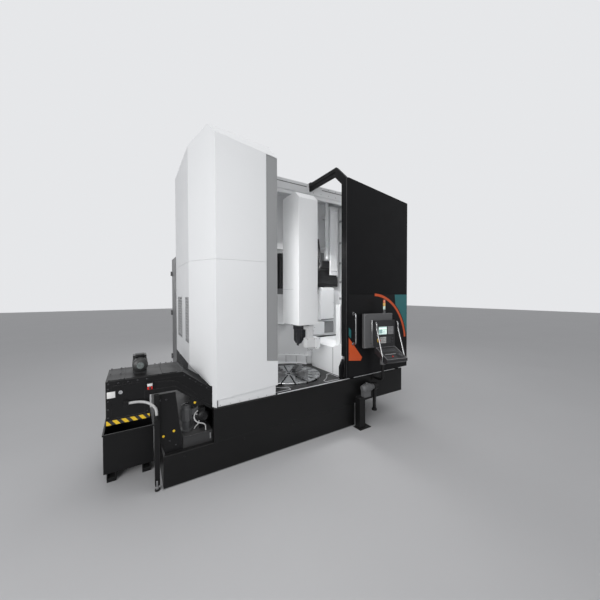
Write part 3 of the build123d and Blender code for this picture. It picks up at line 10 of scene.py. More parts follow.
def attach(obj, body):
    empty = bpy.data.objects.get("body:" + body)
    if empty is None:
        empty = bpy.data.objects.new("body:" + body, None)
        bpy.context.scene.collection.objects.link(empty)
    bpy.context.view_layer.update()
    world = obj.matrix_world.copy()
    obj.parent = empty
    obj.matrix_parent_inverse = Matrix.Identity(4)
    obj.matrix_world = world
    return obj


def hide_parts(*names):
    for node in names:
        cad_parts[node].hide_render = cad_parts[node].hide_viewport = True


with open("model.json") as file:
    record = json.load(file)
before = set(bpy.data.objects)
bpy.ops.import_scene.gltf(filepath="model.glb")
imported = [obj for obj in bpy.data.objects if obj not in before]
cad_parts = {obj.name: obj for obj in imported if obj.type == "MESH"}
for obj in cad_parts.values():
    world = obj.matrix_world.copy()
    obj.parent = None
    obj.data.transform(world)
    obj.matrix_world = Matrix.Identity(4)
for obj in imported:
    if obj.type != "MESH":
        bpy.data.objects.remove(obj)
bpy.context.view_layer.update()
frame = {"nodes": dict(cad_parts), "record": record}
random.seed(11)

# Places and sizes are in millimetres in the frame's axes, unless a comment says metres.
MM = 0.001
UP, DOWN = (0, 0, 1), (0, 0, -1)
FRONT, REAR = (0, -1, 0), (0, 1, 0)
LEFT, RIGHT = (-1, 0, 0), (1, 0, 0)


def link(name, data):
    thing = bpy.data.objects.new(name, data)
    bpy.context.scene.collection.objects.link(thing)
    return thing


# Camera, in metres and degrees

LENS, SENSOR, PICTURE_WIDTH = 16.27, 36.0, 600
YAW, PITCH, ROLL = 31.653, -1.012, -0.110
CAMERA_PLACE = (-2.122, -3.788, 2.050)


def place_camera():
    """Camera at the photograph's place, looking along a yaw from +Y towards +X."""
    data = bpy.data.cameras.new("camera")
    data.lens = LENS
    data.sensor_width = SENSOR
    data.shift_y = -1 / PICTURE_WIDTH
    data.clip_end = 60.0
    camera = link("camera", data)
    turn = (
        Matrix.Rotation(-math.radians(YAW), 4, "Z")
        @ Matrix.Rotation(math.pi / 2 + math.radians(PITCH), 4, "X")
        @ Matrix.Rotation(math.radians(ROLL), 4, "Z")
    )
    camera.matrix_world = Matrix.Translation(CAMERA_PLACE) @ turn
    bpy.context.scene.camera = camera


place_camera()


# Lines and outlines

def arc_points(centre, rx, ry, start, stop, count):
    """Points of an ellipse's arc between two angles in degrees, both ends included."""
    points = []
    for i in range(count + 1):
        a = math.radians(start + (stop - start) * i / count)
        points.append((centre[0] + rx * math.cos(a), centre[1] + ry * math.sin(a)))
    return points


def rectangle(x, z):
    return [(x[0], z[0]), (x[1], z[0]), (x[1], z[1]), (x[0], z[1])]


def nurbs_line(points):
    """Even points in metres along the smooth spline whose control points are the route."""
    curve = bpy.data.curves.new("route", "CURVE")
    curve.dimensions = "3D"
    curve.resolution_u = 24
    spline = curve.splines.new("NURBS")
    spline.points.add(len(points) - 1)
    for point, place in zip(spline.points, points):
        point.co = (*(MM * c for c in place), 1.0)
    spline.order_u = 3
    spline.use_endpoint_u = True
    thing = link("route", curve)
    mesh = bpy.data.meshes.new_from_object(thing)
    line = [v.co.copy() for v in mesh.vertices]
    bpy.data.objects.remove(thing)
    return line


def rounded(points, radii):
    """Points in metres along straight runs joined by arcs of the given radii."""
    step = 0.012
    line = [Vector(points[0]) * MM]
    for before, here, after, radius in zip(points, points[1:], points[2:], radii):
        p, radius = Vector(here) * MM, radius * MM
        a = (p - Vector(before) * MM).normalized()
        b = (Vector(after) * MM - p).normalized()
        turn = a.angle(b)
        normal = (b - a * a.dot(b)).normalized()
        centre = p - a * radius * math.tan(turn / 2) + normal * radius
        count = max(2, int(turn * radius / step))
        for k in range(count + 1):
            t = turn * k / count
            line.append(centre - normal * radius * math.cos(t) + a * radius * math.sin(t))
    line.append(Vector(points[-1]) * MM)
    return line


def resampled(line, step):
    """The line's points at even steps, and its length, all in metres."""
    lengths = [0.0]
    for a, b in zip(line, line[1:]):
        lengths.append(lengths[-1] + (b - a).length)
    count = max(2, round(lengths[-1] / step))
    points = []
    k = 0
    for i in range(count + 1):
        s = lengths[-1] * i / count
        while k < len(line) - 2 and lengths[k + 1] < s:
            k += 1
        t = (s - lengths[k]) / max(1e-9, lengths[k + 1] - lengths[k])
        points.append(line[k].lerp(line[k + 1], min(1.0, max(0.0, t))))
    return points, lengths[-1]


# Meshes

def mesh_object(name, bm, smooth=30):
    """Object with its normals turned outwards, smooth up to an angle in degrees."""
    mesh = bpy.data.meshes.new(name)
    bmesh.ops.recalc_face_normals(bm, faces=bm.faces)
    bm.to_mesh(mesh)
    bm.free()
    for polygon in mesh.polygons:
        polygon.use_smooth = True
    mesh.set_sharp_from_angle(angle=math.radians(smooth))
    return link(name, mesh)


def ring_tube(name, line, radii, sides=16):
    """Tube through the points, with its own radius at each, in metres."""
    bm = bmesh.new()
    side = Vector(UP)
    rings = []
    for i, point in enumerate(line):
        ahead = (line[min(i + 1, len(line) - 1)] - line[max(i - 1, 0)]).normalized()
        if abs(ahead.dot(side)) > 0.95:
            side = Vector(REAR)
        side = (side - ahead * side.dot(ahead)).normalized()
        other = ahead.cross(side)
        ring = []
        for k in range(sides):
            a = 2 * math.pi * k / sides
            ring.append(bm.verts.new(point + radii[i] * (math.cos(a) * side + math.sin(a) * other)))
        rings.append(ring)
    for ring, after in zip(rings, rings[1:]):
        for k in range(sides):
            bm.faces.new((ring[k], ring[(k + 1) % sides], after[(k + 1) % sides], after[k]))
    bm.faces.new(list(reversed(rings[0])))
    bm.faces.new(rings[-1])
    return mesh_object(name, bm, smooth=40)


# Materials

class Tree:
    """Node tree with short calls."""

    def __init__(self, tree):
        self.tree = tree

    def add(self, kind, inputs=None, **settings):
        made = self.tree.nodes.new("ShaderNode" + kind)
        for key, value in settings.items():
            setattr(made, key, value)
        self.feed(made, inputs or {})
        return made

    def feed(self, node, inputs):
        """Values, or sockets to join, for a node's inputs by name or number."""
        for key, value in inputs.items():
            socket = node.inputs[key]
            if isinstance(value, bpy.types.NodeSocket):
                self.tree.links.new(value, socket)
            elif isinstance(value, tuple) and len(value) == 3 and socket.type == "RGBA":
                socket.default_value = (*value, 1.0)
            else:
                socket.default_value = value

    def math(self, operation, a, b):
        return self.add("Math", {0: a, 1: b}, operation=operation).outputs[0]

    def fit(self, value, a, b, low, high):
        """The value's range from a to b, brought to low to high."""
        return self.add("MapRange", dict(enumerate((value, a, b, low, high)))).outputs[0]


class Build(Tree):
    """Node tree of a new material. Its lengths are in metres."""

    def __init__(self, name):
        self.material = bpy.data.materials.new(name)
        self.material.use_nodes = True
        super().__init__(self.material.node_tree)
        self.tree.nodes.clear()
        self.bsdf = self.add("BsdfPrincipled")
        self.add("OutputMaterial", {0: self.bsdf.outputs[0]})
        self.place = self.add("TexCoord").outputs["Object"]

    def surface(self, inputs):
        self.feed(self.bsdf, inputs)

    def noise(self, scale, detail=3.0, stretch=None):
        where = self.place
        if stretch:
            where = self.add("Mapping", {0: where, "Scale": stretch}).outputs[0]
        return self.add("TexNoise", {"Vector": where, "Scale": scale, "Detail": detail}).outputs[0]

    def rings(self, radius, scale, detail):
        """Noise that changes with the radius only."""
        inputs = {"W": radius, "Scale": scale, "Detail": detail}
        return self.add("TexNoise", inputs, noise_dimensions="1D").outputs[0]

    def vary(self, scale, detail, low, high):
        """Noise spread over a range."""
        return self.fit(self.noise(scale, detail), 0.3, 0.7, low, high)

    def mix(self, factor, a, b):
        return self.add("Mix", {0: factor, 6: a, 7: b}, data_type="RGBA").outputs[2]

    def rounded_normal(self, radius):
        return self.add("Bevel", {"Radius": radius}, samples=4).outputs[0]

    def bump(self, height, strength, distance, soft):
        """Relief from a height, on edges softened by a radius."""
        inputs = {"Strength": strength, "Distance": distance, "Height": height}
        made = self.add("Bump", {**inputs, "Normal": self.rounded_normal(soft)})
        self.surface({"Normal": made.outputs[0]})

    def edges(self, radius):
        """Share of wear: 1 near outside and inside edges, 0 on flat faces."""
        inputs = {0: self.rounded_normal(radius), 1: self.add("NewGeometry").outputs["Normal"]}
        dot = self.add("VectorMath", inputs, operation="DOT_PRODUCT")
        return self.fit(dot.outputs["Value"], 0.98, 0.80, 0.0, 1.0)

    def height_of(self, vector):
        return self.add("SeparateXYZ", {0: vector}).outputs["Z"]


def shade(colour, factor):
    return tuple(min(1.0, c * factor) for c in colour)


def grey(value):
    return (value,) * 3


def paint(
    name, colour, spread, rough=0.4, peel=0.12, wear=0.0, worn=None, dust=0.0, coat=0.0, shine=0.5
):
    """Sprayed paint: cloudy tone, orange peel, rubbed edges and a little dust on level faces."""
    b = Build(name)
    tone = b.mix(b.noise(1.6, 5.0), shade(colour, 1 - spread), shade(colour, 1 + spread))
    if wear:
        mask = b.math("MULTIPLY", b.edges(0.006), b.fit(b.noise(14.0), 0.35, 0.65, 0.2, 1.0))
        tone = b.mix(b.math("MULTIPLY", mask, wear), tone, worn)
    if dust:
        level = b.fit(b.height_of(b.add("NewGeometry").outputs["Normal"]), 0.6, 1.0, 0.0, 1.0)
        film = b.math("MULTIPLY", level, b.vary(5.0, 6.0, 0.15, 1.0))
        tone = b.mix(b.math("MULTIPLY", film, dust), tone, (0.42, 0.41, 0.40))
    b.surface({
        "Base Color": tone,
        "Roughness": b.vary(7.0, 4.0, rough - 0.05, rough + 0.07),
        "Specular IOR Level": shine,
        "Coat Weight": coat,
        "Coat Roughness": 0.15,
    })
    b.bump(b.noise(650.0, 1.0), peel, 0.0006, soft=0.003)
    return b.material


def steel(name, colour, rough, scale=40.0, wear=0.0, bump=0.08):
    """Machined metal with an upright lay."""
    b = Build(name)
    lay = b.noise(scale, 4.0, stretch=(1, 1, 30))
    tone = b.mix(lay, shade(colour, 0.88), shade(colour, 1.08))
    stain = b.fit(b.noise(9.0, 6.0), 0.55, 0.75, 0.0, 0.35)
    tone = b.mix(stain, tone, shade(colour, 0.55))
    # Lightened edges: wear, and on the jaws a painted highlight as well.
    if wear:
        tone = b.mix(b.math("MULTIPLY", b.edges(0.003), wear), tone, (0.75, 0.75, 0.76))
    b.surface({
        "Base Color": tone,
        "Metallic": 1.0,
        "Roughness": b.fit(lay, 0.3, 0.7, rough - 0.06, rough + 0.10),
    })
    b.bump(lay, bump, 0.0004, soft=0.0015)
    return b.material


def turned(name, colour):
    """Face-turned steel: fine rings about the table's axis, hand marks, and slots with painted shade,
    darker with depth.
    """
    slots_reach, face_z, slot_shade_z = 0.493, 0.7775, 0.768
    b = Build(name)
    flat = b.add("VectorMath", {0: b.place, 1: (1, 1, 0)}, operation="MULTIPLY")
    radius = b.add("VectorMath", {0: flat.outputs[0]}, operation="LENGTH").outputs["Value"]
    tone = b.mix(b.rings(radius, 26.0, 2.0), shade(colour, 0.72), shade(colour, 1.12))
    marks = b.fit(b.noise(11.0, 6.0), 0.5, 0.72, 0.0, 0.5)
    tone = b.mix(marks, tone, shade(colour, 0.35))
    # Painted shade: within the slots' reach, the colour goes towards black with depth below the table's
    # face.
    inside = b.math("LESS_THAN", radius, slots_reach)
    depth = b.fit(b.height_of(b.place), face_z, slot_shade_z, 0.0, 0.92)
    b.surface({
        "Base Color": b.mix(b.math("MULTIPLY", depth, inside), tone, grey(0.01)),
        "Metallic": 1.0,
        "Anisotropic": 0.6,
        "Tangent": b.add("Tangent", direction_type="RADIAL", axis="Z").outputs[0],
        "Roughness": b.vary(6.0, 5.0, 0.18, 0.34),
    })
    b.bump(b.rings(radius, 420.0, 3.0), 0.25, 0.0003, soft=0.002)
    return b.material


def plastic(name, colour, rough, grain=0.15, spread=0.05):
    """Moulded plastic with a fine grain."""
    b = Build(name)
    b.surface({
        "Base Color": b.mix(b.noise(30.0, 4.0), shade(colour, 1 - spread), shade(colour, 1 + spread)),
        "Roughness": b.vary(12.0, 3.0, rough - 0.05, rough + 0.05),
    })
    b.bump(b.noise(900.0, 2.0), grain, 0.0004, soft=0.001)
    return b.material


def glowing(name, colour, strength):
    """Lit screen with a soft fall-off in brightness."""
    b = Build(name)
    b.surface({
        "Base Color": shade(colour, 0.3),
        "Emission Color": b.mix(b.noise(20.0, 2.0), shade(colour, 0.85), colour),
        "Emission Strength": strength,
        "Roughness": b.vary(40.0, 3.0, 0.12, 0.2),
    })
    return b.material


def tiers(name, stops, z0, z1):
    """Plastic in coloured tiers by height, between two heights in metres."""
    b = Build(name)
    ramp = b.add("ValToRGB", {0: b.fit(b.height_of(b.place), z0, z1, 0.0, 1.0)})
    ramp.color_ramp.interpolation = "CONSTANT"
    while len(ramp.color_ramp.elements) < len(stops):
        ramp.color_ramp.elements.new(0.5)
    for element, (at, colour) in zip(ramp.color_ramp.elements, stops):
        element.position = at
        element.color = (*colour, 1.0)
    b.surface({
        "Base Color": b.mix(b.vary(60.0, 3.0, 0.0, 0.15), ramp.outputs[0], grey(0.9)),
        "Roughness": 0.22,
        "Coat Weight": 0.3,
    })
    b.bump(b.noise(300.0), 0.05, 0.0003, soft=0.001)
    return b.material


PAINTS = {
    "cover_white": dict(colour=(0.80, 0.81, 0.82), rough=0.38, spread=0.015, coat=0.05, shine=0.4),
    "wall_white": dict(colour=(0.70, 0.71, 0.72), rough=0.45, spread=0.03),
    "strip_grey": dict(colour=(0.30, 0.305, 0.31), rough=0.42, spread=0.03),
    "base_black": dict(
        colour=(0.007, 0.007, 0.0073), rough=0.36, spread=0.2, wear=0.2, worn=grey(0.09), dust=0.03,
        shine=0.25,
    ),
    "door_black": dict(
        colour=(0.008, 0.008, 0.0088), rough=0.42, spread=0.15, peel=0.3, wear=0.1, worn=grey(0.08),
        shine=0.1,
    ),
    "slide_black": dict(colour=(0.014, 0.014, 0.015), rough=0.42, spread=0.2, wear=0.3, worn=grey(0.2)),
    "conveyor_black": dict(
        colour=(0.006, 0.006, 0.0065), rough=0.38, spread=0.25, wear=0.4, worn=(0.12, 0.12, 0.118),
        dust=0.07, shine=0.25,
    ),
    "cast_grey": dict(
        colour=(0.20, 0.205, 0.21), rough=0.55, spread=0.12, peel=0.5, wear=0.2, worn=grey(0.45)
    ),
    "motor_grey": dict(
        colour=(0.24, 0.245, 0.25), rough=0.45, spread=0.1, peel=0.35, wear=0.35, worn=grey(0.5), dust=0.15
    ),
    "panel_grey": dict(colour=(0.11, 0.111, 0.114), rough=0.38, spread=0.04, peel=0.35),
    "nozzle_grey": dict(colour=(0.68, 0.685, 0.69), rough=0.35, spread=0.05),
    "tank_grey": dict(colour=(0.035, 0.035, 0.036), spread=0.15, wear=0.3, worn=grey(0.2), dust=0.15),
    "motor_black": dict(
        colour=(0.022, 0.023, 0.023), spread=0.15, peel=0.35, wear=0.3, worn=grey(0.2), dust=0.1
    ),
    "pump_dark": dict(
        colour=(0.09, 0.092, 0.095), rough=0.45, spread=0.15, peel=0.35, wear=0.35, worn=grey(0.35),
        dust=0.12,
    ),
    "pump_grey": dict(
        colour=(0.11, 0.112, 0.115), rough=0.5, spread=0.35, peel=0.5, wear=0.4, worn=grey(0.4), dust=0.1
    ),
    "grille_green": dict(colour=(0.16, 0.20, 0.19), rough=0.5, spread=0.1),
    "stripe_orange": dict(colour=(0.72, 0.10, 0.02), rough=0.38, spread=0.05),
    "stripe_teal": dict(colour=(0.015, 0.16, 0.17), spread=0.08),
    "panel_deep": dict(colour=(0.009, 0.009, 0.0098), rough=0.34, spread=0.1, shine=0.14),
    "hazard_yellow": dict(colour=(0.80, 0.52, 0.02), rough=0.45, spread=0.08, dust=0.1),
    "hazard_black": dict(colour=grey(0.02), rough=0.45, spread=0.2, dust=0.1),
    "blank_plate": dict(colour=(0.75, 0.75, 0.74), spread=0.03),
}
STEELS = {
    # The jaws' strong wear lightens their edges: partly worn steel, partly a painted highlight.
    "jaw_steel": dict(colour=(0.38, 0.38, 0.385), rough=0.30, scale=60.0, wear=0.9),
    "tool_steel": dict(colour=(0.06, 0.06, 0.065), rough=0.36, wear=0.4),
    "chrome": dict(colour=(0.34, 0.343, 0.347), rough=0.17, scale=120.0, bump=0.02),
}
PLASTICS = {
    "chain_plastic": dict(colour=(0.02, 0.02, 0.021), rough=0.5),
    "panel_dark": dict(colour=(0.022, 0.022, 0.024), rough=0.42, grain=0.3),
    "button_red": dict(colour=(0.62, 0.02, 0.015), rough=0.25, grain=0.05),
    "hose_silver": dict(colour=grey(0.50), rough=0.35, spread=0.15),
    "seal_rubber": dict(colour=grey(0.012), rough=0.7),
    "key_grey": dict(colour=(0.34, 0.34, 0.35), rough=0.4),
    "key_white": dict(colour=(0.62, 0.62, 0.61), rough=0.4),
    "key_dark": dict(colour=(0.05, 0.05, 0.055), rough=0.35),
    "ring_yellow": dict(colour=(0.72, 0.50, 0.02), rough=0.4),
}
SCREENS = {
    "screen_glow": dict(colour=(0.70, 0.84, 0.80), strength=1.25),
    "screen_ink": dict(colour=(0.30, 0.46, 0.46), strength=0.8),
    "screen_mark": dict(colour=(0.15, 0.65, 0.25), strength=0.8),
}
LAMP_TIERS = [
    (0.0, (0.015, 0.015, 0.016)), (0.28, (0.62, 0.80, 0.70)), (0.52, (0.85, 0.48, 0.05)),
    (0.75, (0.70, 0.14, 0.03)), (0.975, (0.03, 0.03, 0.03)),
]
MATERIALS = {
    "table_steel": turned("table_steel", (0.62, 0.63, 0.64)),
    "light_clear": tiers("light_clear", LAMP_TIERS, 1.745, 1.964),
}
for make, looks in ((paint, PAINTS), (steel, STEELS), (plastic, PLASTICS), (glowing, SCREENS)):
    for name, look in looks.items():
        MATERIALS[name] = make(name, **look)
OWN = {
    "coolant_tank": "tank_grey",
    "conveyor_motor": "motor_black",
    "coolant_pump": "pump_dark",
    "pump_body": "pump_grey",
}
SLOT_OF = {part["node"]: part["material_slot"] for part in frame["record"]["subparts"]}


def dress_nodes():
    for name, thing in frame["nodes"].items():
        thing.data.materials.clear()
        thing.data.materials.append(MATERIALS[OWN.get(name, SLOT_OF[name])])


dress_nodes()


# Pieces

def finish_piece(thing, body, material):
    thing.data.materials.append(MATERIALS[material])
    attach(thing, body)
    return thing


def edges_of(verts):
    return list({e for v in verts for e in v.link_edges})


def sized(x, y, z):
    return Matrix.Diagonal((x * MM, y * MM, z * MM, 1))


def along(a, b, side):
    """Axes halfway between two points in metres: X along them, Y to the given side."""
    ahead, side = (b - a).normalized(), Vector(side)
    turn = Matrix((ahead, side, ahead.cross(side))).transposed().to_4x4()
    turn.translation = (a + b) / 2
    return turn


class Shape:
    """Mesh under construction. done() makes it a visible piece."""

    def __init__(self):
        self.bm = bmesh.new()

    def move(self, matrix, verts=None):
        bmesh.ops.transform(self.bm, matrix=matrix, verts=verts or self.bm.verts)

    def bevel(self, edges, offset):
        bmesh.ops.bevel(self.bm, geom=edges, offset=offset * MM, segments=2, affect="EDGES", profile=0.5)

    def cube(self, matrix=Matrix()):
        return bmesh.ops.create_cube(self.bm, size=1.0, matrix=matrix)["verts"]

    def box(self, low, high, bevel):
        """Bevelled box between two corners."""
        low, high = Vector(low) * MM, Vector(high) * MM
        made = self.cube()
        for v in made:
            v.co = Vector([(low[i] + high[i]) / 2 + v.co[i] * (high[i] - low[i]) for i in range(3)])
        self.bevel(edges_of(made), bevel)

    def rod(self, place, turn, radius, length, sides):
        """Cylinder about a place, its axis turned from Z by a rotation."""
        return bmesh.ops.create_cone(
            self.bm, cap_ends=True, segments=sides, radius1=radius * MM, radius2=radius * MM,
            depth=length * MM, matrix=Matrix.Translation(place * MM) @ turn.to_matrix().to_4x4(),
        )["verts"]

    def disc(self, place, axis, radius, height, bevel=0.0, sides=24):
        """Short bevelled cylinder from a place along an axis."""
        middle = Vector(place) + Vector(axis).normalized() * height / 2
        made = self.rod(middle, Vector(UP).rotation_difference(Vector(axis)), radius, height, sides)
        if bevel:
            creases = [e for e in edges_of(made) if len(e.link_faces) == 2]
            self.bevel([e for e in creases if any(len(f.verts) > 4 for f in e.link_faces)], bevel)

    def screw(self, place, axis, size):
        """Cap screw's head."""
        self.disc(place, axis, size, 0.7 * size, bevel=0.12 * size, sides=16)

    def screws(self, xs, ys, zs, axis, size):
        """Screw heads wherever the places along X, Y and Z meet."""
        for place in product(xs, ys, zs):
            self.screw(place, axis, size)

    def bar(self, a, b, radius):
        """Thin six-sided bar between two points."""
        self.rod((a + b) / 2, Vector(UP).rotation_difference(b - a), radius, (b - a).length, 6)

    def wire_ring(self, centre, radius, thick, sides):
        """Upright ring of bars in the plane of X and Z."""
        x, y, z = centre
        ring = [Vector((a, y, c)) for a, c in arc_points((x, z), radius, radius, 0, 360, sides)]
        for a, b in zip(ring, ring[1:]):
            self.bar(a, b, thick)

    def fin(self, centre, angle, radius, size):
        """Fin at an angle round an axis that runs along Y."""
        place = Matrix.Translation(Vector(centre) * MM) @ Matrix.Rotation(-angle, 4, "Y")
        self.cube(place @ Matrix.Translation((radius * MM, 0, 0)) @ sized(*size))

    def done(self, name, material, body="machine"):
        return finish_piece(mesh_object(name, self.bm), body, material)


def flat_piece(name, outline, place, across, up, depth, body, material, bevel=0.0):
    """Sheet with an outline in two directions from a place, standing out by its depth."""
    across, up = Vector(across).normalized(), Vector(up).normalized()
    out = across.cross(up)
    s = Shape()
    bm = s.bm
    base = [bm.verts.new(MM * (Vector(place) + a * across + u * up)) for a, u in outline]
    face = bm.faces.new(base)
    bm.normal_update()
    if face.normal.dot(out) < 0:
        face.normal_flip()
    moved = bmesh.ops.extrude_face_region(bm, geom=[face])["geom"]
    verts = [v for v in moved if isinstance(v, bmesh.types.BMVert)]
    bmesh.ops.translate(bm, vec=out * depth * MM, verts=verts)
    if bevel:
        s.bevel([e for e in bm.edges if all(v in verts for v in e.verts)], bevel)
    s.done(name, material, body)


def near_plate(name, outline, y, depth, material, bevel=0.0, body="machine"):
    """Sheet on a face that looks towards the front, outline in X and Z."""
    flat_piece(name, outline, (0, y, 0), RIGHT, UP, depth, body, material, bevel)


def side_plate(name, outline, x, depth, material, body="machine"):
    """Sheet on a face that looks towards the left, outline in Y and Z."""
    flat_piece(name, [(-y, z) for y, z in outline], (x, 0, 0), FRONT, UP, depth, body, material)


# Dressed cords

CONDUIT = [
    (-2170, -606, 968), (-2118, -606, 968), (-2056, -614, 963), (-2000, -636, 947),
    (-1955, -654, 913), (-1926, -656, 863), (-1926, -656, 807),
]
HOSE = [
    (-1498, -528, 712), (-1522, -536, 700), (-1543, -553, 679), (-1548, -578, 650),
    (-1530, -594, 618), (-1494, -598, 596), (-1452, -596, 582), (-1426, -590, 552),
    (-1424, -583, 514), (-1424, -583, 494),
]


def dressed_cords():
    """The two cords, ribbed by a radius that changes from point to point."""
    points, length = resampled(nurbs_line(CONDUIT), 0.0024)
    radii = [0.014 if i % 3 else 0.0122 for i in range(len(points))]
    tube = ring_tube("ribbed_conduit", points, radii)
    finish_piece(tube, "machine", "hose_silver")
    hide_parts("conduit")
    points, length = resampled(nurbs_line(HOSE), 0.003)
    radii = [0.007 if i % 2 else 0.0066 for i in range(len(points))]
    tube = ring_tube("coolant_line", points, radii)
    finish_piece(tube, "machine", "hose_silver")
    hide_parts("coolant_hose")


dressed_cords()


# Painted fields of the door

DOOR_FACE = -690.0


def door_graphics():
    """Plain painted shapes of the builder's own, low on the door."""
    left, right, foot, top = 654, 2010, 790, 2040
    centre = (1180, 1180)
    arc = arc_points(centre, 810, 880, 88, 8, 20) + arc_points(centre, 765, 838, 8, 88, 20)
    corner = arc_points(centre, 826, 896, 50, 10, 12) + [(right, 1400), (right, top), (1690, top)]
    for name, outline, depth, material in (
        ("lower_field", rectangle((left, right), (foot, top)), 0.4, "panel_deep"),
        ("arc", arc, 0.9, "stripe_orange"),
        ("corner", corner, 0.7, "stripe_teal"),
        ("wedge_low", [(left, 1040), (900, 1010), (930, 1060), (left, 1390)], 0.8, "stripe_orange"),
        ("wedge_side", [(left, 1420), (700, 1372), (700, 1500), (left, 1545)], 0.8, "stripe_teal"),
    ):
        near_plate(f"door_{name}", outline, DOOR_FACE, depth, material, body="door")


door_graphics()


# Operator's pendant: u to the right, v towards the operator, from the pole

PIN = Vector((1226.0, -840.0, 0.0))
SWIVEL = math.radians(10)
U = Vector((math.cos(SWIVEL), -math.sin(SWIVEL), 0))
V = Vector((-math.sin(SWIVEL), -math.cos(SWIVEL), 0))
ON_PENDANT = Matrix.Translation(PIN * MM) @ Matrix.Rotation(-SWIVEL, 4, "Z")
PANEL_V = 45.0
SCREEN_V, KEYS_V = PANEL_V - 6, PANEL_V - 3


def pendant_piece(name, s, material):
    """Piece from a shape made with u as X and v as -Y."""
    s.move(ON_PENDANT)
    s.done(name, material, "pendant")


def on_panel(name, u, z, v, depth, material):
    """Plate on the pendant's front, between two values of u and z."""
    flat_piece(name, rectangle(u, z), PIN + v * V, U, UP, depth, "pendant", material)


def key_grid(name, u, z, columns, rows, material):
    """Rows of small bevelled keys on the panel."""
    gap, height, bevel = 4, 4.0, 1.2
    w = (u[1] - u[0] + gap) / columns - gap
    h = (z[1] - z[0] + gap) / rows - gap
    s = Shape()
    for i, j in product(range(columns), range(rows)):
        low = Vector((u[0] + i * (w + gap), -KEYS_V - height, z[0] + j * (h + gap)))
        s.box(low, low + Vector((w, height, h)), bevel)
    pendant_piece(name, s, material)


def pendant_details():
    """Screen, keys, knobs and stop ring on the panel, grab bar and louvres of the housing."""
    on_panel("display_face", (-106, 46), (1419, 1541), SCREEN_V, 1.0, "screen_glow")
    marks = [
        ("bar_top", (-104, 44), (1529, 1539), "screen_ink"),
        ("bar_foot", (-104, 44), (1421, 1429), "screen_ink"),
        ("plot", (-100, -36), (1436, 1500), "screen_ink"),
        ("mark", (-30, 40), (1488, 1496), "screen_mark"),
    ]
    for k in range(5):
        end, foot = 14 + 5 * (k * 7 % 4), 1438 + 9 * k
        marks.append((f"row_{k + 1}", (-30, end), (foot, foot + 4), "screen_ink"))
    for name, u, z, material in marks:
        on_panel(f"display_{name}", u, z, SCREEN_V + 1, 0.3, material)
    key_grid("soft_keys", (66, 172), (1420, 1540), 5, 6, "key_grey")
    key_grid("machine_keys", (-82, 30), (1284, 1380), 5, 4, "key_white")
    key_grid("axis_keys", (38, 128), (1284, 1380), 4, 4, "key_dark")
    knob_u, bar_u, housing_v = 152, -226, 4
    s = Shape()
    for z in (1355, 1307):
        s.disc((knob_u, -KEYS_V, z), FRONT, 15, 6, bevel=1.5)
        s.disc((knob_u, -KEYS_V - 6, z), FRONT, 10.5, 12, bevel=2.0, sides=18)
    pendant_piece("override_knobs", s, "key_dark")
    s = Shape()
    for foot, top in ((0.031, 0.027), (0.0135, 0.0135)):
        bmesh.ops.create_cone(s.bm, cap_ends=False, segments=36, radius1=foot, radius2=top, depth=0.003)
    rim = [e for e in s.bm.edges if e.is_boundary]
    bmesh.ops.bridge_loops(s.bm, edges=[e for e in rim if e.verts[0].co.z > 0])
    bmesh.ops.bridge_loops(s.bm, edges=[e for e in rim if e.is_valid and e.verts[0].co.z < 0])
    s.move(Matrix.Translation((-0.110, -0.0437, 1.332)) @ Matrix.Rotation(math.pi / 2, 4, "X"))
    pendant_piece("stop_ring", s, "ring_yellow")
    s = Shape()
    s.disc((bar_u, -32, 1256), UP, 8, 396, bevel=2)
    for z in (1290, 1618):
        s.disc((bar_u, -housing_v, z), FRONT, 7, 28)
    s.screws((-328, 176), [-housing_v], (1232, 1728), FRONT, 6)
    pendant_piece("grab_bar", s, "chrome")
    s = Shape()
    for z in range(1480, 1660, 22):
        s.box((-300, 60, z), (-60, 62.5, z + 10), bevel=1)
    s.box((-20, 60, 1440), (140, 66, 1640), bevel=3)
    pendant_piece("rear_louvres", s, "panel_dark")


def shelf_details():
    """Keys, dark fields, rim, hand wheel and button on the sloping shelf."""
    run, fall = 270, 135
    length = math.hypot(run, fall)
    lay = Matrix.Translation((0.020, -0.045, 1.225)) @ Matrix.Rotation(math.atan2(fall, run), 4, "X")
    first_key, pitch, foot, top = -134, 22, -4, 1.5

    def shelf_piece(name, s, material):
        s.move(lay)
        pendant_piece(name, s, material)

    s = Shape()
    for row, column in product(range(4), range(12)):
        x, y = first_key + pitch * column, -0.14 * length - 18 - row * 20
        s.box((x, y, foot), (x + 18, y + 16, top), bevel=1)
    shelf_piece("shelf_keys", s, "key_dark")
    s = Shape()
    s.box((-142, -128, -1), (136, -37, 0.8), bevel=0.3)
    s.box((-142, -200, -1), (70, -136, 0.8), bevel=0.3)
    shelf_piece("shelf_fields", s, "seal_rubber")
    s = Shape()
    for column in range(9):
        x, y = first_key + pitch * column, -0.56 * length - 20
        s.box((x, y, foot), (x + 18, y + 18, top), bevel=1)
    for x in (-181, 176):
        s.box((x, -length + 4, 0), (x + 5, -6, 1.6), bevel=0.6)
    for y in (-length + 4, -8):
        s.box((-180, y, 0), (180, y + 5, 1.6), bevel=0.6)
    shelf_piece("shelf_rim", s, "key_grey")
    s = Shape()
    s.disc((100, -0.74 * length, foot), UP, 42, 10, bevel=2, sides=36)
    s.disc((100, -0.74 * length, foot + 10), UP, 34, 14, bevel=3, sides=36)
    s.disc((122, -0.70 * length, 20), UP, 7, 16, bevel=2)
    shelf_piece("hand_wheel", s, "key_dark")
    s = Shape()
    s.disc((-36, -0.78 * length, foot), UP, 12, 12, bevel=2)
    shelf_piece("shelf_button", s, "button_red")


pendant_details()
shelf_details()


# Jaws and work floor

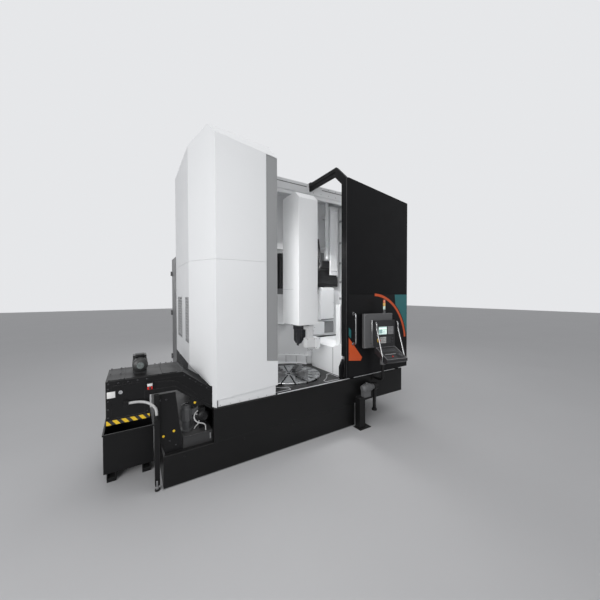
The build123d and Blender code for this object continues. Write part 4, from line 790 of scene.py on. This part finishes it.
def jaw_screws():
    """Screw heads on each jaw's steps, and teeth on its gripping face."""
    first_slot, slot_step, grip = 3.5, 22.5, 150
    for index in range(4):
        s = Shape()
        for radius, z in ((176.0, 812.4), (309.2, 860.4)):
            s.disc((radius, 0, z), UP, 10.4, 6, bevel=1.2)
        for k in range(9):
            y = -38 + 8.4 * k
            s.box((grip - 0.8, y, 800), (grip, y + 4, 818), bevel=0.2)
        s.move(Matrix.Rotation(math.radians(first_slot + (1 + index * 4) * slot_step), 4, "Z"))
        s.done(f"jaw_{index + 1}_screws", "tool_steel", f"jaw_{index + 1}")


def floor_beads():
    """Raised pale beads round the two pockets of the work floor."""
    reach, inset, front, height, bead_radius = 610, 300, -593, 754.0, 3.5
    corner = math.degrees(math.acos(inset / reach))
    low = math.degrees(math.asin(inset / reach))
    left = [(-560, front), (-inset, front), *arc_points((0, 0), reach, reach, 180 + corner, 203.5, 10)]
    right = [
        (inset, front), (606, front), (606, -inset),
        *arc_points((0, 0), reach, reach, -low, -corner, 10),
    ]
    for name, points in (("left", left), ("right", right)):
        line = [Vector((x, y, height)) * MM for x, y in points + points[:1]]
        dense, _ = resampled(line, 0.02)
        tube = ring_tube(f"floor_bead_{name}", dense, [bead_radius * MM] * len(dense), sides=8)
        finish_piece(tube, "machine", "wall_white")


jaw_screws()
floor_beads()


# Cable carrier

def chain_links():
    """Open links along the carrier's run, with the lines inside them."""
    start, y, low = 541.5, 395.0, 2456.0
    x = start + 330
    route = [
        (start, y, low), (start + 150, y, low), (x + 60, y, low + 90), (x, y, low + 340),
        (x - 46, y, low + 620),
    ]
    line, _ = resampled(rounded(route, (90, 110, 120)), 0.034)
    s = Shape()
    for a, b in zip(line, line[1:]):
        before = set(s.bm.verts)
        for cheek in (-45, 38):
            s.box((-18.5, cheek, -21), (18.5, cheek + 7, 21), bevel=3)
        for bridge in (-22, 18):
            s.box((-8, -40, bridge), (8, 40, bridge + 4), bevel=1)
        s.move(along(a, b, REAR), [v for v in s.bm.verts if v not in before])
    links = s.done("carrier_links", "chain_plastic", "saddle")
    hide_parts("cable_chain")
    for k, (off, radius) in enumerate(((-24, 9), (-4, 7), (14, 8), (29, 6))):
        shifted = [p + Vector((0, off * MM, 0)) for p in line]
        tube = ring_tube(f"carrier_line_{k + 1}", shifted, [radius * MM] * len(shifted), sides=10)
        finish_piece(tube, "saddle", "seal_rubber" if k % 2 else "hose_silver")


chain_links()


# Conveyor

def conveyor_details():
    """Hazard stripe, plates, switch, plugs and screws on the conveyor's front."""
    face, leg, switch = -590, -598.3, -624
    low, high = 776, 820
    near_plate("hazard_ground", rectangle((-2355, -1986), (low, high)), face, 0.6, "hazard_yellow")
    for k in range(5):
        x = -2345 + 74 * k
        bar = [(x + 34, low), (x + 70, low), (x + 36, high), (x, high)]
        near_plate(f"hazard_bar_{k + 1}", bar, face - 0.5, 0.5, "hazard_black")
    near_plate("blank_plate", rectangle((-2347, -2279), (1040, 1102)), face, 1.5, "blank_plate", 0.6)
    for name, z, material in (("white", (1108, 1136), "blank_plate"), ("red", (1076, 1104), "button_red")):
        near_plate(f"switch_{name}", rectangle((-2006, -1959), z), switch, 1.2, material, 0.8)
    s = Shape()
    s.disc((-1982, switch - 1, 1090), FRONT, 11, 5, bevel=1)
    s.box((-1985, switch - 12, 1080), (-1979, switch - 6, 1100), bevel=1.5)
    s.done("switch_knob", "panel_dark")
    s = Shape()
    for place in ((-1862, leg, 545), (-1760, leg, 578), (-1542, -587, 836)):
        s.disc(place, FRONT, 13, 9, bevel=2, sides=20)
    s.done("cap_plugs", "hazard_yellow")
    s = Shape()
    s.screws(range(-2335, -2000, 82), [face], [1180], FRONT, 7)
    s.screws([-2338], [face], (850, 930, 1012, 1130), FRONT, 7)
    s.screws([-2007], [face], (850, 930), FRONT, 7)
    for x, z in ((-1890, 930), (-1830, 930), (-1800, 480), (-1740, 420)):
        s.screw((x, leg, z), FRONT, 9)
    for k in range(5):
        s.screw((-1650 + 60 * k, face, 1160 - 46 * k), FRONT, 7)
    s.done("conveyor_screws", "tool_steel")


def motor_dress():
    """Grille, fins and terminal box of the conveyor's motor."""
    x, y, z, radius, fins = -2063.0, -500.0, 1304.8, 72.0, 18
    s = Shape()
    s.disc((x, y, z), FRONT, 0.48 * radius, 2, bevel=0.8, sides=32)
    s.done("cowl_face", "grille_green")
    s = Shape()
    centre = Vector((x, y - 2.5, z))
    for k in range(1, 4):
        s.wire_ring(centre, 11 * k, 1.4, 32)
    for k in range(4):
        a = math.pi * k / 4
        spoke = Vector((34 * math.cos(a), 0, 34 * math.sin(a)))
        s.bar(centre - spoke, centre + spoke, 1.6)
    s.done("cowl_grille", "tool_steel")
    s = Shape()
    for k in range(fins):
        if not 3 <= k <= 6:
            s.fin((x, y + 158, z), 2 * math.pi * k / fins, 68, (10, 136, 3))
    s.box((x - 44, y + 100, z + 58), (x + 44, y + 200, z + 98), bevel=5)
    s.done("motor_fins", "conveyor_black")


conveyor_details()
motor_dress()


# Fixed trim

def trim():
    """Edge strip and handle screws of the door, pale strip along the foot and plugs of the base, rivets.
    """
    s = Shape()
    s.box((608.2, -690.6, 780), (613, -683, 3786), bevel=0.6)
    s.done("door_edge_strip", "slide_black", "door")
    s = Shape()
    handle_x, flange_face = 740.0, -698
    for handle_end in (1290.0, 1750.0):
        for x, z in arc_points((handle_x, handle_end), 19, 19, 45, 315, 3):
            s.screw((x, flange_face, z), FRONT, 3.2)
    s.done("handle_screws", "tool_steel", "door")
    # Thin pale grey strip along the foot of the base, at the floor line.
    s = Shape()
    s.box((-1858, -650, 0.5), (789, -644.2, 9), bevel=1)
    s.done("foot_pale_strip", "strip_grey")
    s = Shape()
    for x in (-1660, -980, -300, 380):
        s.disc((x, -656, 300), FRONT, 13, 5, bevel=1.5)
    s.done("lifting_plugs", "base_black")
    s = Shape()
    hoop, first, last, gaps = 764.4, 38, 208.2, 23
    for (x, y), z in product(arc_points((0, 0), hoop, hoop, first, last, gaps), (1478, 930)):
        s.disc((x, y, z), (-x, -y, 0), 5, 2.5, bevel=0.8, sides=12)
    s.done("hoop_rivets", "strip_grey")


trim()


# Work area

def on_ring(s, angle, z, radius, width, height, depth):
    """Small bevelled block on the inside of the round guard."""
    place = Matrix.Translation(((radius - depth / 2) * MM, 0, z * MM))
    made = s.cube(Matrix.Rotation(math.radians(angle), 4, "Z") @ place @ sized(depth, width, height))
    bmesh.ops.bevel(s.bm, geom=edges_of(made), offset=0.25 * depth * MM, segments=1, affect="EDGES")


def guard_details():
    """Seals, closing sheet and lugs of the round guard."""
    side_plate("guard_seal", rectangle((-327, -319), (766, 1182)), 640, 0.8, "seal_rubber")
    across, width = (0.88, -0.475, 0), (0, 86)
    for name, z, place, depth, bevel in (
        ("closing_sheet", (756, 1188), (632, 434, 0), 1.5, 0.6),
        ("closing_fold", (900, 912), (630.5, 431.3, 0), 14.0, 1.0),
    ):
        outline = rectangle(width, z)
        flat_piece(name, outline, place, across, UP, depth, "machine", "wall_white", bevel)
    band, hoop = 742, 764.5
    s = Shape()
    for k in range(12):
        on_ring(s, 34 + 15 * (k + 0.06), 838, band, 5, 118, 1.2)
    s.done("band_seals", "seal_rubber")
    s = Shape()
    for angle in range(46, 197, 30):
        on_ring(s, angle, 1486, hoop, 120, 10, 14)
        for step in (-3, 3):
            on_ring(s, angle + step, 1455, hoop, 14, 14, 5)
    s.done("hoop_lugs", "wall_white")


def wall_details():
    """Rails, slots, screws, plate and a seal of the walls behind the work area, and a painted shadow strip
    under the magazine cover.
    """
    header, cover, wall, hatch = 328, 540, 640, 654
    for k, z in enumerate((3553, 3105, 2690, 2300, 1960)):
        s = Shape()
        s.box((1566, -590, z - 5), (1571, 630, z + 5), bevel=1.5)
        for y in (180, 560):
            s.box((1550, y, z - 22), (1568, y + 46, z + 22), bevel=3)
        s.done(f"wall_rail_{k + 1}", "strip_grey")
    for name, x in (("left", (-420, -210)), ("middle", (-150, 560)), ("right", (900, 1480))):
        near_plate(f"header_slot_{name}", rectangle(x, (3976, 3988)), header, 0.8, "seal_rubber")
    s = Shape()
    s.screws(range(710, 1900, 170), [header], (4012, 3900), FRONT, 6)
    s.done("header_screws", "tool_steel")
    s = Shape()
    s.screws((860, 1340), [cover], (1340, 1620, 1880, 2120), FRONT, 6)
    s.screws(range(-500, 1501, 200), [wall], [3840], FRONT, 6)
    s.done("wall_screws", "strip_grey")
    near_plate("hatch_plate", rectangle((1134, 1426), (1259, 1496)), hatch, 1.5, "strip_grey", 0.6)
    # Painted shadow: a dark rubber strip stands for the shade in the gap under the magazine cover.
    near_plate("cover_gap_shadow", rectangle((1036, 1349), (1542, 1556)), cover, 1.0, "seal_rubber")
    s = Shape()
    s.box((985, 622, 1190), (1562, 639, 1210), bevel=2)
    s.done("ledge_seal", "seal_rubber")


def ram_details():
    """Seam of the ram's cover, screws and jets of the coolant block, screws of the nose."""
    cover_side, block_foot, ram_x, nose = 37, 1166, 211, 1539
    seam = rectangle((-90, 250), (2128, 2131))
    side_plate("ram_cover_seam", seam, cover_side, 0.8, "strip_grey", "ram")
    s = Shape()
    s.screws((231, 364), [-200], (1190, 1330, 1515), FRONT, 5)
    s.screws((392, 460), [-206], (1186, 1331), FRONT, 5)
    s.done("nozzle_screws", "tool_steel", "ram")
    s = Shape()
    for k, x in enumerate((262, 300, 338)):
        s.disc((x, -168, block_foot), DOWN, 9, 8, bevel=1.5)
        s.disc((x, -168, block_foot - 8), (-0.25 + 0.05 * k, 0.25, -1), 5, 22, bevel=1, sides=12)
    s.done("coolant_jets", "chrome", "ram")
    s = Shape()
    for x, y in arc_points((ram_x, 0), 88, 88, 22.5, 337.5, 7):
        s.screw((x, y, nose), DOWN, 7)
    s.done("ram_nose_screws", "tool_steel", "ram")


guard_details()
wall_details()
ram_details()


# Left end

def trough_details():
    """Fold, inspection bar, lid bolts and foot nut of the conveyor."""
    face, lid, leg_x, leg_y = -589, 1215, -1928, -652
    s = Shape()
    folds = [(-1960, 1129), (-1830, 1129), (-1760, 1119), (-1700, 1092), (-1560, 966), (-1440, 840)]
    line = [Vector((x, face + 1, z)) * MM for x, z in folds]
    for a, b in zip(line, line[1:]):
        s.cube(along(a, b, FRONT) @ sized((b - a).length / MM + 2, 8, 10))
    s.done("trough_fold", "conveyor_black")
    s = Shape()
    s.box((-2300, face - 7, 1150), (-2120, face, 1160), bevel=2)
    s.screws((-2290, -2215, -2140), [face], [1172], FRONT, 5)
    s.done("inspection_bar", "conveyor_black")
    s = Shape()
    run = product(range(-1905, -1600, 60), (-600, -100))
    head = product((-2330, -2240), (-590, -350, -110))
    for x, y in (*run, *head):
        s.disc((x, y, lid), UP, 8, 6, bevel=1.5, sides=12)
    s.done("lid_bolts", "tool_steel")
    s = Shape()
    s.disc((leg_x, leg_y, 40), UP, 17, 26, bevel=3, sides=6)
    s.disc((leg_x, leg_y, 66), UP, 10, 60, bevel=2)
    s.done("foot_nut", "chrome")


def tank_details():
    """Lid and gauge of the coolant tank, grille of the filter motor, fittings of the pump."""
    lid, handle_x, front = 491, -1432, -597
    motor_x, motor_z = -1440, 640
    s = Shape()
    s.box((-1500, -330, lid - 5), (-1365, -140, lid), bevel=1.5)
    for y in (-300, -170):
        s.disc((handle_x, y, lid), UP, 6, 22, bevel=1)
    s.disc((handle_x, -306, lid + 22), REAR, 6, 142, bevel=1)
    s.screws(range(-1650, -1400, 60), [front], [470], FRONT, 6)
    s.done("tank_lid", "tool_steel")
    s = Shape()
    s.box((-1384, front - 5, 388), (-1370, front, 458), bevel=2)
    s.done("level_gauge", "motor_grey")
    s = Shape()
    for k in range(16):
        a = 2 * math.pi * k / 16
        if math.sin(a) <= 0.35:
            s.fin((motor_x, -425, motor_z), a, 58, (8, 140, 3))
    for radius in (14, 26, 38):
        s.wire_ring((motor_x, -560.5, motor_z), radius, 1.2, 24)
    s.done("filter_grille", "panel_dark")
    x, y = -1606.0, -430.0
    s = Shape()
    s.disc((x, y, 783), UP, 30, 5, bevel=1.5)
    for a, b in arc_points((x, y), 60, 60, 22.5, 337.5, 7):
        s.screw((a, b, 495), UP, 5)
    s.disc((x + 66, y - 20, 655), (1, -0.4, 0), 9, 34, bevel=2, sides=12)
    s.done("pump_fittings", "chrome")
    route = [
        (92, -32, 652), (130, -50, 640), (140, -56, 600), (118, -52, 540), (84, -40, 500), (78, -38, 484),
    ]
    line = rounded([(x + a, y + b, z) for a, b, z in route], (18, 22, 40, 30))
    dense, _ = resampled(line, 0.006)
    pipe = ring_tube("pump_pipe", dense, [7 * MM] * len(dense), sides=12)
    finish_piece(pipe, "machine", "hose_silver")


trough_details()
tank_details()


# Front and rear

def lifting_eye(s, x, y, z, r):
    """Shouldered eye bolt standing on a level face."""
    s.disc((x, y, z), UP, r, 0.3 * r, bevel=0.08 * r)
    s.wire_ring((x, y, z + 1.3 * r), r, 0.22 * r, 20)


def column_details():
    """Foot screws, lifting eyes, cable duct, roof seams and panel screws."""
    right, rear, cover_rear, roof = 1917, 1440, 902, 4018
    flange_z, heights = 790, (1100, 1700, 2300, 2900, 3500)
    s = Shape()
    for x in range(-430, 1180, 178):
        s.disc((x, rear, flange_z), REAR, 19, 3, bevel=0.8, sides=20)
        s.screw((x, rear + 3, flange_z), REAR, 13)
    for y, z in product(range(-520, 1460, 240), (450, 650)):
        s.disc((right, y, z), RIGHT, 12, 3, bevel=1, sides=20)
    s.done("foot_screws", "tool_steel")
    s = Shape()
    for x in (-400, 1100):
        lifting_eye(s, x, 1380, 3840, 34)
    for x, y in product((-1480, -620), (990, 1350)):
        lifting_eye(s, x, y, 2650, 18)
    s.done("lifting_eyes", "tool_steel")
    s = Shape()
    s.box((-1100, 903, 2640), (-980, 975, 3700), bevel=4)
    for z in (2760, 3040, 3320, 3600):
        s.box((-1106, 900, z), (-974, 979, z + 26), bevel=2)
    s.done("cable_duct", "strip_grey")
    s = Shape()
    for x in (100, 700, 1300):
        s.box((x, 380, roof - 2), (x + 14, 896, roof + 4), bevel=2)
    s.screws((60, 660, 1260), (410, 640, 870), [roof], UP, 6)
    s.done("roof_seams", "wall_white")
    s = Shape()
    s.screws([right], (-540, 840), heights, RIGHT, 6)
    s.screws((-1490, -580), [cover_rear], heights, REAR, 6)
    s.done("panel_screws", "wall_white")


def pump_details():
    """Fins, cowl screws, valve and foot bolts of the front pump."""
    y, z = -755, 590
    s = Shape()
    for x in range(935, 1008, 18):
        s.disc((x, y, z), RIGHT, 66, 4, bevel=1, sides=32)
    for a, b in arc_points((y, z), 24, 24, 0, 324, 9):
        s.screw((866, a, b), LEFT, 3.5)
    s.done("pump_fins", "pump_grey")
    s = Shape()
    s.disc((960, y, 652), UP, 12, 16, bevel=2, sides=6)
    s.disc((960, y, 668), UP, 22, 8, bevel=2, sides=28)
    for bolt in product((790, 870), (-786, -716), [470]):
        s.disc(bolt, UP, 7, 7, bevel=1.5, sides=6)
    s.done("pump_valve", "chrome")


def door_details():
    """Screws along the door's sides and its sloping top."""
    top, slope, left = 3770, 0.1156, 649
    s = Shape()
    s.screws((668, 2000), [DOOR_FACE], range(860, 3600, 284), FRONT, 5)
    for x in range(820, 1960, 190):
        s.screw((x, DOOR_FACE, top - slope * (x - left)), FRONT, 5)
    s.done("door_screws", "door_black", "door")


def cover_details():
    """Screws along the corner strip and the plinth."""
    strip, plinth = -648, -633
    s = Shape()
    s.screws((-664, -545), [strip], range(1240, 3790, 232), FRONT, 4.5)
    s.done("strip_screws", "strip_grey")
    s = Shape()
    s.screws(range(-1270, -560, 118), [plinth], (880, 760), FRONT, 5)
    s.done("plinth_screws", "strip_grey")


def rear_details():
    """Grilles and lamps on the cabinet's door, and rails, devices and ducts inside."""
    face, lamp_z = 1424, 1980
    s = Shape()
    for foot in (900, 2280):
        s.box((-1230, face, foot), (-890, face + 10, foot + 260), bevel=4)
        for z in range(foot + 16, foot + 230, 21):
            s.box((-1214, face + 9, z), (-906, face + 16, z + 11), bevel=2)
    s.done("cabinet_grilles", "panel_grey", "cabinet_door")
    for name, x, material in (("lamp", -1100, "button_red"), ("blank", -1040, "blank_plate")):
        s = Shape()
        s.disc((x, face, lamp_z), REAR, 15, 6, bevel=1.5)
        s.done(f"cabinet_{name}", material, "cabinet_door")
    rails, blocks, ducts = Shape(), Shape(), Shape()
    back, rail_face, duct_face = 938, 946, 998
    for z in (1020, 1300, 2120, 2400):
        rails.box((-1440, back, z - 18), (-660, rail_face, z + 18), bevel=1)
        x = -1430
        while x < -700:
            w = random.choice((22, 22, 36, 54, 80))
            if random.random() < 0.85:
                half = random.choice((70, 90, 110)) / 2
                out = 1000 + random.choice((0, 20, 40))
                blocks.box((x, rail_face, z - half), (x + w - 2, out, z + half), bevel=2)
            x += w
    for z in (880, 1160, 1440, 2000, 2260, 2520):
        ducts.box((-1450, back, z - 28), (-650, duct_face, z + 28), bevel=1.5)
    for x in (-1470, -650):
        ducts.box((x, back, 860), (x + 44, duct_face, 2540), bevel=1.5)
    rails.done("cabinet_rails", "nozzle_grey")
    blocks.done("cabinet_blocks", "panel_dark")
    ducts.done("cabinet_ducts", "strip_grey")


column_details()
pump_details()
door_details()
cover_details()
rear_details()


# Ground, light and world, in metres

SKY_TOWARD = (-0.62, -0.45, 0.64)
SKY_RANGE = (-0.6, 1.0, 0.13, 0.50)
SKY_COLOUR = (0.92, 0.93, 0.95)
BACKDROP = 0.86
FLOOR_REACH = 40.0
LAMPS = (
    ("key", (-6.2, -5.3, 2.9), (-0.4, 0.0, 1.8), 245.0, 4.0, 3.0),
    ("top", (0.0, -1.0, 7.5), (0.0, 0.0, 0.0), 90.0, 5.0, 4.0),
    ("rear", (3.4, 6.2, 3.2), (0.2, 0.8, 1.8), 110.0, 4.0, 3.0),
    ("fill", (-2.0, -2.6, 3.0), (0.1, 0.3, 1.8), 9.0, 1.2, 1.2),
    ("side_lamp", (-0.56, -0.42, 2.1), (0.0, -0.2, 2.05), 7.2, 0.12, 2.0),
    ("work_lamp", (0.62, 0.05, 2.95), (0.45, 0.15, 1.2), 15.0, 0.3, 0.3),
)


def light(name, place, look_at, energy, width, height):
    """Area lamp that the camera doesn't see."""
    data = bpy.data.lights.new(name, "AREA")
    data.energy = energy
    data.shape = "RECTANGLE"
    data.size = width
    data.size_y = height
    thing = link(name, data)
    thing.location = place
    thing.rotation_euler = (Vector(look_at) - Vector(place)).to_track_quat("-Z", "Y").to_euler()
    thing.visible_camera = False


def sky():
    """Soft studio surround, brighter to the front left and above, plain where the camera sees it."""
    world = bpy.data.worlds.new("studio")
    world.use_nodes = True
    t = Tree(world.node_tree)
    inputs = {0: t.add("TexCoord").outputs["Generated"], 1: SKY_TOWARD}
    toward = t.add("VectorMath", inputs, operation="DOT_PRODUCT")
    share = t.fit(toward.outputs["Value"], *SKY_RANGE)
    path = t.add("LightPath")
    seen = path.outputs["Is Camera Ray"]
    for name in ("Is Glossy Ray", "Is Transmission Ray"):
        seen = t.math("MAXIMUM", seen, path.outputs[name])
    pick = t.add("Mix", {0: seen, 2: share, 3: BACKDROP})
    t.feed(t.tree.nodes["Background"], {0: SKY_COLOUR, 1: pick.outputs[0]})
    bpy.context.scene.world = world


def ground():
    """Plain pale floor."""
    bm = bmesh.new()
    bmesh.ops.create_grid(bm, x_segments=1, y_segments=1, size=FLOOR_REACH)
    floor = mesh_object("floor", bm)
    b = Build("floor")
    b.surface({
        "Base Color": b.mix(b.noise(0.6), (0.57, 0.57, 0.58), (0.61, 0.61, 0.62)),
        "Roughness": 0.6,
    })
    floor.data.materials.append(b.material)


ground()
sky()
for lamp in LAMPS:
    light(*lamp)
bpy.context.scene.view_settings.view_transform = "Standard"
